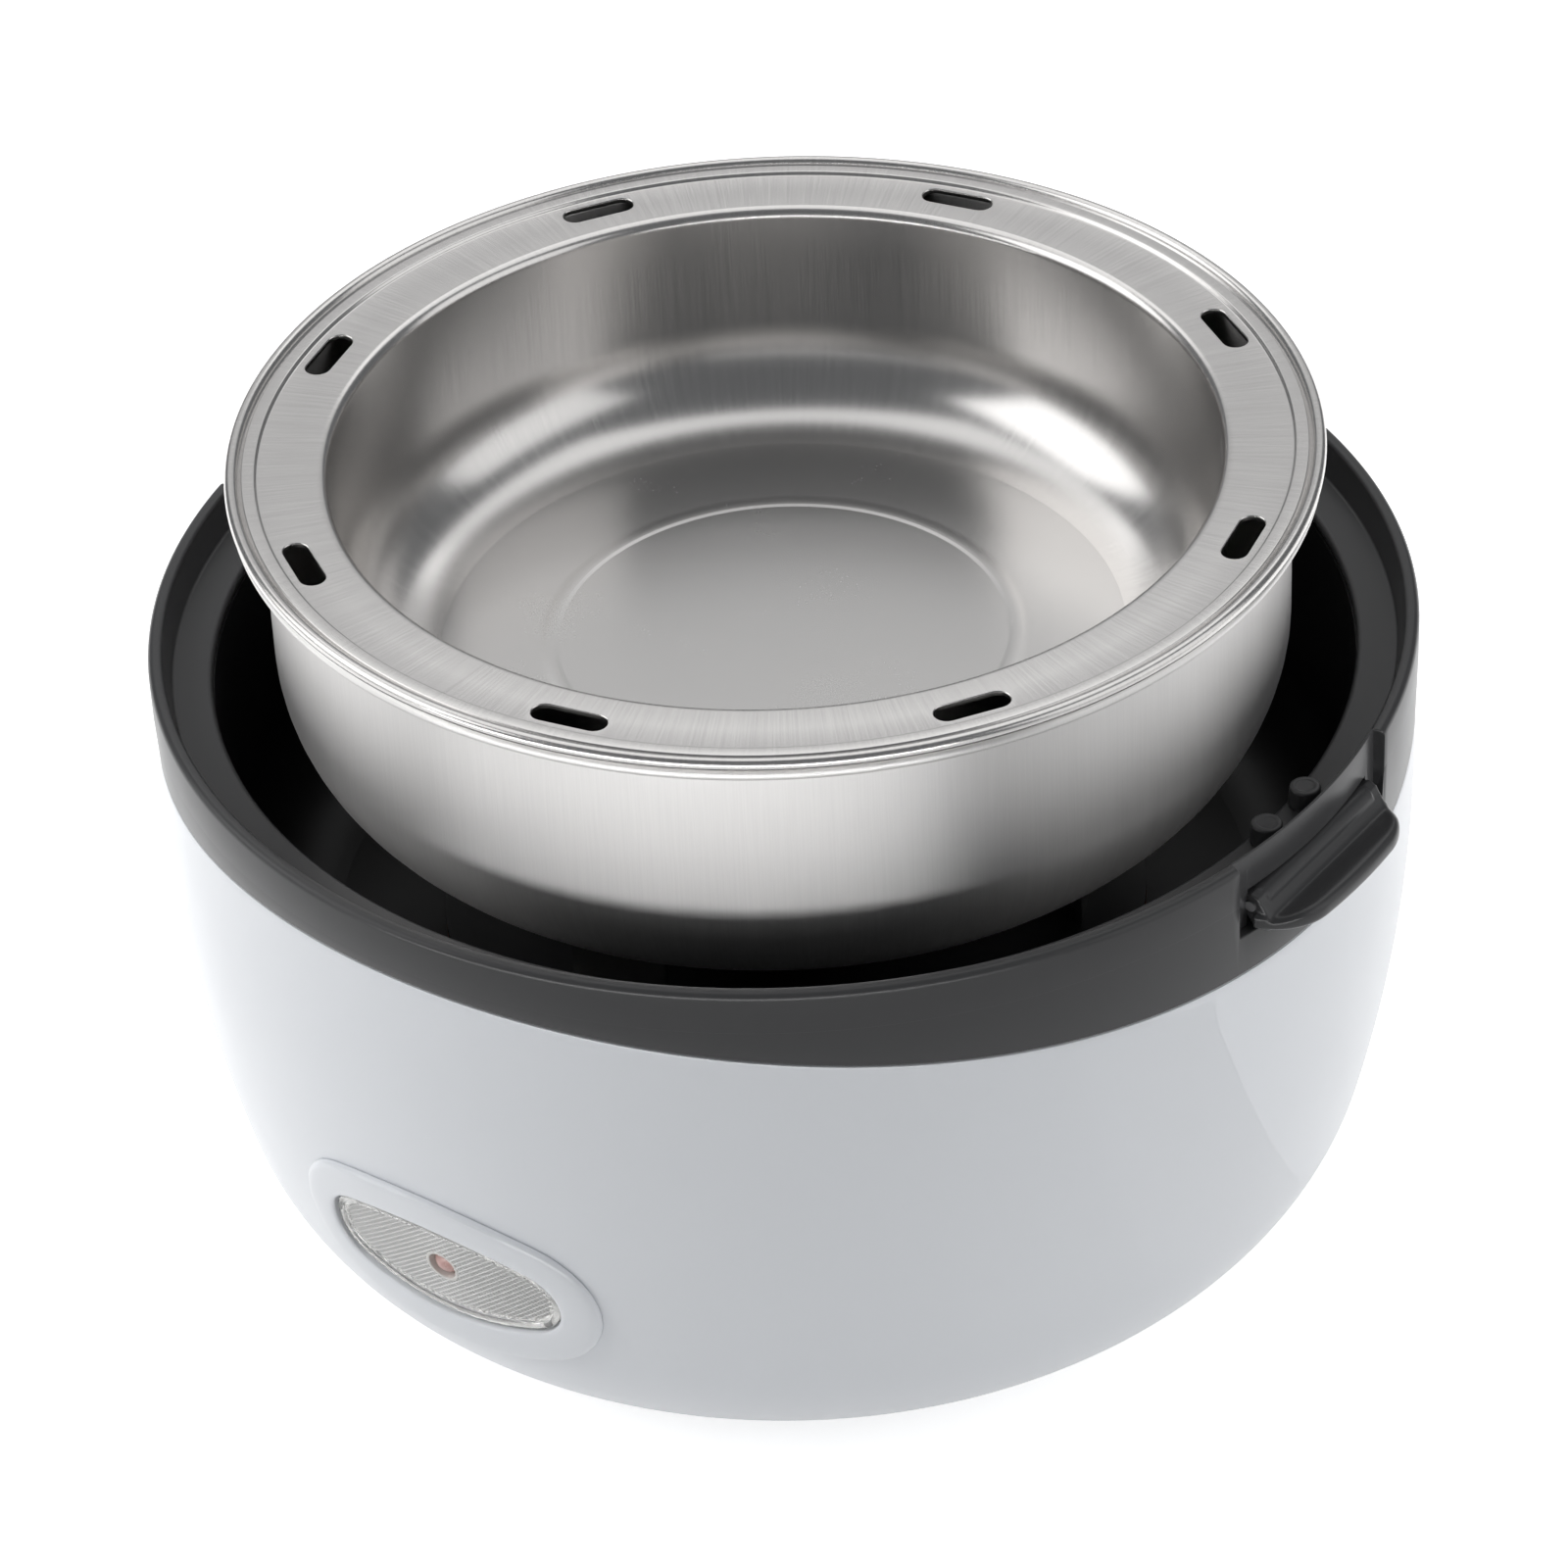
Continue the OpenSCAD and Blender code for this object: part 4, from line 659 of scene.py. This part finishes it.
for i in range(-40, 41):
    for j in range(-20, 21):
        if (i + j) % 2:
            continue
        cx, cy = i * PITCH_X / 2, j * PITCH_Y / 2
        if not inside(cx, cy, PLATE_MARGIN) or math.hypot(cx, cy) < LAMP_CLEAR:
            continue
        base = len(verts)
        top_z = face_z(cx) - PLATE_DROP
        for scale, depth in PIT_RINGS:
            hx, hy, z = PITCH_X / 2 * scale, PITCH_Y / 2 * scale, top_z - depth
            verts += [(cx + hx, cy, z), (cx, cy + hy, z), (cx - hx, cy, z), (cx, cy - hy, z)]
        for k in range(4):
            m = (k + 1) % 4
            faces.append((base + k, base + m, base + 4 + m, base + 4 + k))
            faces.append((base + 4 + k, base + 4 + m, base + 8 + m, base + 8 + k))
        # The floor of the pit gets the dark finish of painted shade
        dark.append(len(faces))
        faces.append((base + 8, base + 9, base + 10, base + 11))
grid = bpy.data.meshes.new("lens_prism_plate")
grid.from_pydata([(x * MM, y * MM, z * MM) for x, y, z in verts], [], faces)
grid.materials.append(PRISM)
grid.materials.append(PIT_SHADE)
for index in dark:
    grid.polygons[index].material_index = 1
plate = bpy.data.objects.new("lens_prism_plate", grid)
bpy.context.scene.collection.objects.link(plate)
place(plate, AT_LENS)
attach(plate, "base")

backing = ring_stack("lens_backing", [
    [(x, y, face_z(x) - 3.3) for x, y in offset(-0.5)],
    [(x, y, face_z(x) - 3.9) for x, y in offset(-0.5)]])
place(backing, AT_LENS)
finish(backing, "base", PRISM, "clear_lens")

# Lamp dome in its ring, in the middle of the lens
DOME_R, DOME_Z, DOME_LOW = 2.4, -2.7, -10.0
dome = [(0.0, DOME_LOW), (DOME_R, DOME_LOW)] + arc(0, DOME_Z, DOME_R, 0, 90, 10)
lamp = place(lathe("indicator_lamp_dome", dome, 64), AT_LENS)
finish(lamp, "base", LAMP, "lamp_glass", "indicator_lamp")
socket = [(2.5, -2.4), (3.1, -2.4)] + rounded(
    [(3.1, -1.0, 0), (3.1, -0.35, 0.2), (2.5, -0.35, 0.2), (2.5, -1.0, 0)])
cup = place(lathe("lamp_ring", socket, 64), AT_LENS)
finish(cup, "base", RING, "clear_lens")

# ---------- collar ----------
SKIRT_R = 96.5
COLLAR_LOW_Z = 100.0
PLAIN_SHELF_Z = 101.0
RECESS_SOFT, SLOT_SOFT = 0.35, 0.3
# Distance in y that lies beyond every recess, for the front and the back
FAR_Y = 999.0


def smooth_step(t):
    """0 to 1 with a level start and end."""
    t = max(0.0, min(1.0, t))
    return t * t * (3 - 2 * t)


def blend_in(y, limit, width):
    """1 inside a distance, 0 outside it, with a short soft change between."""
    return smooth_step((limit + width / 2 - y) / width)


def mix(a, b, t):
    return a + (b - a) * t


def collar_column(a):
    """Closed section of the collar at an angle about Z, with the recess and slot of a clasp."""
    side = abs(math.cos(a)) > 0.5
    y = abs(RIM_R * math.sin(a)) if side else FAR_Y
    recess = blend_in(y, RECESS_Y, RECESS_SOFT)
    slot = blend_in(y, SLOT_Y, SLOT_SOFT)
    low = wave_z(SHELL_R * math.sin(a))
    front = mix(RIM_R, RECESS_R, recess)
    shelf = mix(PLAIN_SHELF_Z, SHELF_Z, recess)
    skirt = SHELL_R + 0.3 * (shelf - low) / (LEDGE_Z - low)
    back = mix(skirt, RECESS_R, recess)
    groove = mix(back, SLOT_X, slot)
    slot_z = mix(shelf + 0.02, SLOT_TOP, slot)
    path = [
        (SKIRT_R, COLLAR_LOW_Z, 0), (WELL_R, COLLAR_LOW_Z, 0.9), (WELL_R, LEDGE_Z, 1.0),
        (LEDGE_R - 0.3, LEDGE_Z, 0.5),
        (LEDGE_R + 0.75, RIM_Z, 0.7), (front, RIM_Z, mix(1.1, 0.4, recess)),
        (mix(front, back, 0.6), slot_z + 0.02, 0.25), (groove, slot_z, 0), (groove, shelf, 0.3),
        (skirt, shelf - 0.01, mix(0.02, 0.3, recess)), (SHELL_R, low, 0.35), (SKIRT_R, low, 0)]
    points = rounded(path, n=4)
    return [(r * math.cos(a), r * math.sin(a), z) for r, z in points]


# One column a degree, and more where the recesses and slots begin
angles = {math.radians(i) for i in range(360)}
for limit, width in ((RECESS_Y, RECESS_SOFT), (SLOT_Y, SLOT_SOFT)):
    for k in range(-4, 5):
        t = math.asin((limit + width * k / 7) / RIM_R)
        for v in (t, -t, math.pi - t, math.pi + t):
            angles.add(v % (2 * math.pi))
collar = loft("collar_shell", [collar_column(a) for a in sorted(angles)], sharp=40)

# The studs stand 0.2 mm further in than the solid's
STUD_AT_R, STUD_AT_Y = 93.0, 5.5
STUD = [(0, 101.5, 0), (2.6, 101.5, 0), (2.6, 102.2, 0), (2.4, 105.4, 0.5), (1.6, 105.4, 0.3),
        (1.4, 105.3, 0.3), (0, 105.3, 0)]
studs = []
for side in (0, math.pi):
    for sy in (-1, 1):
        stud = lathe("stud", rounded(STUD, n=5), 48)
        place(stud, Matrix.Rotation(side, 4, "Z")
              @ Matrix.Translation((STUD_AT_R * MM, sy * STUD_AT_Y * MM, 0)))
        studs.append(stud)
join(collar, *studs)
finish(collar, "base", GREY, "grey_collar", "collar")


# ---------- clasps ----------

# Section of a clasp's top face: against the recess's wall, in the trough and on the pad. The trough
# lies 0.7 mm further out than the solid's, and the underside 0.2 mm lower.
WALL_X, WALL_Z = 98.2, 100.2
VALLEY_X, VALLEY_Z = 101.2, 97.68
PAD_X, PAD_Z = 105.4, 98.45
CLASP_UNDER, CLASP_EDGE = 95.2, 1.35
CLASP_LIP_R, CLASP_HALF, CLASP_CORNER = 106.8, 18.3, 10.0
# Highest top of the plate's ends beyond the slot, to stay clear of the collar as the clasp turns
SHOULDER_Z, SHOULDER_GAP = 98.25, 0.15
ROOT_X = 98.35
ROOT_HALF = 17.1
ROOT = [(95.8, 98.0), (96.6, 96.9), (98.0, 95.25), (100.6, 95.25), (100.6, 97.6), (99.8, 98.4),
        (99.5, 99.1), (98.7, 100.5), (97.4, 101.0), (96.2, 100.6), (95.6, 99.6)]
BARREL_R, BARREL_HALF = 2.2, 15.0
PLAN_STEPS, ROW_STEPS, ROW_EASE = 40, 20, 1.8
# Voxels in metres of the skin that melts plate, root and barrel into one
SKIN_QUICK, SKIN_FULL = 0.00022, 0.00016


def trough_z(x):
    """Height of a clasp's top face at a distance from the middle of the base."""
    if x < VALLEY_X:
        return mix(WALL_Z, VALLEY_Z, smooth_step((x - WALL_X) / (VALLEY_X - WALL_X)))
    return mix(VALLEY_Z, PAD_Z, smooth_step((x - VALLEY_X) / (PAD_X - VALLEY_X)))


def clasp_piece(name):
    """A thumb plate with a shallow trough, its barrel under the rim, softened all over."""
    cy = CLASP_HALF - CLASP_CORNER
    dist = CLASP_LIP_R - CLASP_CORNER
    cx = math.sqrt(dist * dist - cy * cy)
    lean = math.asin(cy / dist)
    end = math.acos((ROOT_X - cx) / CLASP_CORNER)
    plan = [(cx + CLASP_CORNER * math.cos(t), cy + CLASP_CORNER * math.sin(t)) for t in
            [end + (lean - end) * k / PLAN_STEPS for k in range(PLAN_STEPS + 1)]]
    plan += [(CLASP_LIP_R * math.cos(t), CLASP_LIP_R * math.sin(t)) for t in
             [lean - 2 * lean * k / PLAN_STEPS for k in range(1, PLAN_STEPS)]]
    plan += [(x, -y) for x, y in reversed(plan[:PLAN_STEPS + 1])]

    def rounding(x, y):
        d = min(math.hypot(x - px, y - py) for px, py in plan)
        if d >= CLASP_EDGE:
            return 0.0
        return CLASP_EDGE - math.sqrt(CLASP_EDGE ** 2 - (CLASP_EDGE - d) ** 2)

    columns = []
    for px, py in plan:
        top, low = [], []
        for k in range(ROW_STEPS + 1):
            x = ROOT_X + (px - ROOT_X) * (1 - (1 - k / ROW_STEPS) ** ROW_EASE)
            drop = rounding(x, py)
            high = trough_z(x)
            if abs(py) >= SLOT_Y - SHOULDER_GAP:
                high = min(high, SHOULDER_Z)
            top.append((x, py, high - drop))
            low.append((x, py, CLASP_UNDER + drop))
        columns.append(top + list(reversed(low)))
    thumb = loft(name, columns[1:-1], wrap=False)
    inner = prism("root", ROOT, -ROOT_HALF, ROOT_HALF)
    place(inner, Matrix.Rotation(math.pi / 2, 4, "X"))
    barrel = lathe("barrel", [(0, -BARREL_HALF), (BARREL_R, -BARREL_HALF),
                              (BARREL_R, BARREL_HALF), (0, BARREL_HALF)], 48)
    place(barrel, Matrix.Translation((HINGE_X * MM, 0, HINGE_Z * MM))
          @ Matrix.Rotation(math.pi / 2, 4, "X"))
    join(thumb, inner, barrel)
    mod = thumb.modifiers.new("skin", "REMESH")
    mod.mode = "VOXEL"
    mod.voxel_size = SKIN_FULL
    mod.use_smooth_shade = True
    soft = thumb.modifiers.new("soft", "SMOOTH")
    soft.factor = 0.5
    soft.iterations = 7
    graph = bpy.context.evaluated_depsgraph_get()
    thumb.data = bpy.data.meshes.new_from_object(thumb.evaluated_get(graph))
    thumb.modifiers.clear()
    settle(thumb.data, 60)
    return thumb


right = clasp_piece("clasp_right_plate")
left = right.copy()
left.data = right.data.copy()
left.name = "clasp_left_plate"
bpy.context.scene.collection.objects.link(left)
place(left, Matrix.Rotation(math.pi, 4, "Z"))
finish(right, "clasp_right_body", GREY, "grey_collar", "clasp_right")
finish(left, "clasp_left_body", GREY, "grey_collar", "clasp_left")

# ---------- steel bowl ----------
BOWL_R, BOWL_Z, BOWL_TOP = 80.0, 84.7, 137.0
BOWL_IN_R, BOWL_IN_Z = 79.2, 85.5
BOWL_CORNER, BOWL_IN_CORNER = 24.0, 23.2
FLANGE_Z = 136.2
ROLL_X, ROLL_Z, ROLL_R = 83.9, 136.1, 0.9
bowl_profile = rounded([
    (0, BOWL_Z, 0), (BOWL_R, BOWL_Z, BOWL_CORNER), (BOWL_R, FLANGE_Z, 0.8),
    (83.2, FLANGE_Z, 0.1)], n=16)
bowl_profile += arc(ROLL_X, ROLL_Z, ROLL_R, -160, 90, 14)
bowl_profile += rounded([
    (83.5, BOWL_TOP, 0), (BOWL_IN_R, BOWL_TOP, 0.4), (BOWL_IN_R, BOWL_IN_Z, BOWL_IN_CORNER),
    (0, BOWL_IN_Z, 0)], n=16)
bowl = lathe("food_bowl_body", bowl_profile, 320)
finish(bowl, "bowl", BOWL_STEEL, "bright_steel", "food_bowl")

# ---------- slotted dish ----------
DISH_TOP, DISH_FLOOR, DISH_R = 137.9, 102.2, 69.3
DISH_UNDER, DISH_BOTTOM = 137.1, 101.4
# The bottom with its faint ring, then the wall and the flange with its step, then the rolled edge
# and the way back underneath
dish_profile = rounded([
    (0, DISH_FLOOR, 0), (35.6, DISH_FLOOR, 0.3), (36.3, DISH_FLOOR + 0.08, 0.3),
    (36.8, DISH_FLOOR + 0.1, 0.3), (37.2, DISH_FLOOR + 0.1, 0.3), (37.7, DISH_FLOOR + 0.08, 0.3),
    (38.4, DISH_FLOOR, 0.3)], n=4)
dish_profile += rounded([(39.0, DISH_FLOOR, 0), (DISH_R - 0.4, DISH_FLOOR, 15.0),
                         (DISH_R, DISH_TOP, 1.7), (75.0, DISH_TOP, 0)], n=18)
STEP_TOP = DISH_TOP + 0.55
DISH_ROLL_X, DISH_ROLL_Z, DISH_ROLL_R = 84.2, 138.1, 1.0
dish_profile += rounded([(75.5, DISH_TOP, 0), (80.25, DISH_TOP, 0.35), (80.55, STEP_TOP, 0.3),
                         (82.5, STEP_TOP, 0.3), (82.85, DISH_TOP + 0.05, 0.2)], n=5)
dish_profile += arc(DISH_ROLL_X, DISH_ROLL_Z, DISH_ROLL_R, 172, -90, 16)
dish_profile += rounded([(83.6, DISH_UNDER, 0), (DISH_R + 0.8, DISH_UNDER, 0.9),
                         (DISH_R + 0.4, DISH_BOTTOM, 15.8), (0, DISH_BOTTOM, 0)], n=18)
dish = lathe("steam_dish_body", dish_profile, 320)


def stadium(half, r, n=10):
    """Outline of a round-ended slot, its length along Y."""
    top = [(r * math.cos(math.pi * k / n), half + r * math.sin(math.pi * k / n))
           for k in range(n + 1)]
    low = [(-x, -y) for x, y in top]
    return top + low


SLOT_COUNT, FIRST_SLOT = 8, 12.4
SLOT_AT_R, SLOT_HALF, SLOT_R = 76.85, 4.0, 2.0
# How far a slot is grown at each height: its edges are soft above and below
SLOT_RINGS = ((0.1, 136.6), (0.0, 137.2), (0.0, 137.72), (0.04, 137.82), (0.14, 137.905),
              (0.14, 138.6))
slots = []
for k in range(SLOT_COUNT):
    s = ring_stack("slot", [[(x, y, z) for x, y in stadium(SLOT_HALF, SLOT_R + grow)]
                            for grow, z in SLOT_RINGS])
    place(s, Matrix.Rotation(math.radians(FIRST_SLOT + 360 / SLOT_COUNT * k), 4, "Z")
          @ Matrix.Translation((SLOT_AT_R * MM, 0, 0)))
    slots.append(s)
join(*slots)
carve(dish, slots[0], sharp=35)
finish(dish, "dish", STEEL, "bright_steel", "steam_dish")
# The flat bottom, out to a radius in metres, has no streaks
FLOOR_R = 0.0538
dish.data.materials.append(FLOOR_STEEL)
for face in dish.data.polygons:
    if math.hypot(face.center.x, face.center.y) < FLOOR_R:
        face.material_index = 1

# ---------- stage, lights and camera ----------
# The camera, also through the lens, sees plain white; all else gets a dim cool sky
SKY_POWER, SEEN_POWER = 0.15, 1.0
# The floor glows white for the camera. In reflections its glow falls towards the camera: its levels
# behind and in front of the object, and the distances in metres between which it changes
FLOOR_GLOW = 0.66
SHINE_BACK, SHINE_FRONT, SHINE_SPAN = 0.8, 0.1, (-0.05, 0.2)
FLOOR_REACH = 4.0

world = bpy.data.worlds.new("studio")
world.use_nodes = True
bpy.context.scene.world = world
wt = world.node_tree
sky = wt.nodes["Background"]
sky.inputs["Color"].default_value = (0.93, 0.96, 1.0, 1.0)
sky.inputs["Strength"].default_value = SKY_POWER
seen = wt.nodes.new("ShaderNodeBackground")
seen.inputs["Color"].default_value = (1.0, 1.0, 1.0, 1.0)
seen.inputs["Strength"].default_value = SEEN_POWER
path_node = wt.nodes.new("ShaderNodeLightPath")
either = wt.nodes.new("ShaderNodeMath")
either.operation = "MAXIMUM"
wt.links.new(path_node.outputs["Is Camera Ray"], either.inputs[0])
wt.links.new(path_node.outputs["Is Transmission Ray"], either.inputs[1])
sky_mix = wt.nodes.new("ShaderNodeMixShader")
wt.links.new(either.outputs[0], sky_mix.inputs[0])
wt.links.new(sky.outputs[0], sky_mix.inputs[1])
wt.links.new(seen.outputs[0], sky_mix.inputs[2])
wt.links.new(sky_mix.outputs[0], wt.nodes["World Output"].inputs["Surface"])

floor_mesh = bpy.data.meshes.new("floor")
floor_mesh.from_pydata([(sx * FLOOR_REACH, sy * FLOOR_REACH, 0)
                        for sx, sy in ((-1, -1), (1, -1), (1, 1), (-1, 1))], [], [(0, 1, 2, 3)])
floor = bpy.data.objects.new("floor", floor_mesh)
bpy.context.scene.collection.objects.link(floor)
floor_mat = Shader("floor_finish", (0.86, 0.86, 0.86), 0.6)
rays = floor_mat.node("ShaderNodeLightPath")
seen_rays = floor_mat.math("MAXIMUM", rays.outputs["Is Camera Ray"],
                           rays.outputs["Is Transmission Ray"])
spot = floor_mat.node("ShaderNodeSeparateXYZ")
floor_mat.link(floor_mat.coord, spot.inputs[0])
# Distance towards the camera, level with the floor
ahead = floor_mat.math("SUBTRACT", floor_mat.math("MULTIPLY", spot.outputs[0], 0.6),
                       floor_mat.math("MULTIPLY", spot.outputs[1], 0.8))
shine = floor_mat.span(ahead, SHINE_BACK, SHINE_FRONT, SHINE_SPAN)
glow = floor_mat.math("ADD", floor_mat.math("MULTIPLY", seen_rays, FLOOR_GLOW),
                      floor_mat.math("MULTIPLY", rays.outputs["Is Glossy Ray"], shine))
floor_mat.p.inputs["Emission Color"].default_value = (1.0, 1.0, 1.0, 1.0)
floor_mat.link(glow, floor_mat.p.inputs["Emission Strength"])
floor_mesh.materials.append(floor_mat.mat)


def lamp_panel(name, where, aim, size, power):
    """Rectangular lamp at a place in metres, turned towards a point; its power is in watts."""
    data = bpy.data.lights.new(name, "AREA")
    data.shape = "RECTANGLE"
    data.size, data.size_y = size
    data.energy = power
    obj = bpy.data.objects.new(name, data)
    obj.location = where
    obj.rotation_euler = (Vector(aim) - Vector(where)).to_track_quat("-Z", "Y").to_euler()
    bpy.context.scene.collection.objects.link(obj)
    return obj


AIM = (0, 0, 0.08)
KEY_AT, FILL_AT = (-1.15, -0.75, 0.95), (1.25, 0.45, 0.7)
# The key and the fill are each in two parts, so that matt and glossy surfaces can be lit apart.
# The front sheet is seen in reflections only.
lamp_panel("key_left", KEY_AT, AIM, (1.4, 1.3), 9.5)
lamp_panel("key_left_matt", KEY_AT, AIM, (1.4, 1.3), 11.0).visible_glossy = False
lamp_panel("fill_right", FILL_AT, AIM, (1.3, 1.2), 4.5)
lamp_panel("fill_right_matt", FILL_AT, AIM, (1.3, 1.2), 8.5).visible_glossy = False
lamp_panel("top_soft", (-0.33, 0.44, 1.3), AIM, (1.5, 1.2), 5.5)
lamp_panel("back_soft", (-0.84, 1.12, 0.95), AIM, (1.7, 1.0), 2.2)
lamp_panel("front_low", (0.5, -1.2, 0.25), AIM, (1.6, 0.5), 1.2)
lamp_panel("front_sheet", (0.34, -1.12, 0.13), AIM, (2.8, 0.16), 13.2).visible_diffuse = False

# Solved from the round outlines in the photograph: the direction from the middle of the rim, then
# small turns of the camera about its own axes
DIST, ELEV, AZIM = 1.0, math.radians(34.72), math.radians(36.86)
YAW, PITCH, ROLL = math.radians(-0.06), math.radians(-1.64), math.radians(-2.75)
FOCAL_PX, FRAME_PX = 6475.0, 1600.0
SENSOR_MM = 36.0
rel = DIST * Vector((math.cos(ELEV) * math.sin(AZIM), -math.cos(ELEV) * math.cos(AZIM),
                     math.sin(ELEV)))
fwd = -rel.normalized()
right_v = fwd.cross(Vector((0, 0, 1))).normalized()
up_v = right_v.cross(fwd)
fwd2 = fwd * math.cos(YAW) + right_v * math.sin(YAW)
right2 = right_v * math.cos(YAW) - fwd * math.sin(YAW)
fwd3 = fwd2 * math.cos(PITCH) + up_v * math.sin(PITCH)
up3 = up_v * math.cos(PITCH) - fwd2 * math.sin(PITCH)
right4 = right2 * math.cos(ROLL) + up3 * math.sin(ROLL)
up4 = up3 * math.cos(ROLL) - right2 * math.sin(ROLL)
camera_turn = Matrix((right4, up4, -fwd3)).transposed().to_4x4()
cam_data = bpy.data.cameras.new("camera")
cam_data.sensor_fit = "HORIZONTAL"
cam_data.sensor_width = SENSOR_MM
cam_data.lens = FOCAL_PX / FRAME_PX * SENSOR_MM
cam_data.clip_start = 0.05
cam_data.clip_end = 20.0
camera = bpy.data.objects.new("camera", cam_data)
camera.matrix_world = Matrix.Translation(rel + Vector((0, 0, RIM_Z * MM))) @ camera_turn
bpy.context.scene.collection.objects.link(camera)
bpy.context.scene.camera = camera
bpy.context.scene.view_settings.view_transform = "Standard"
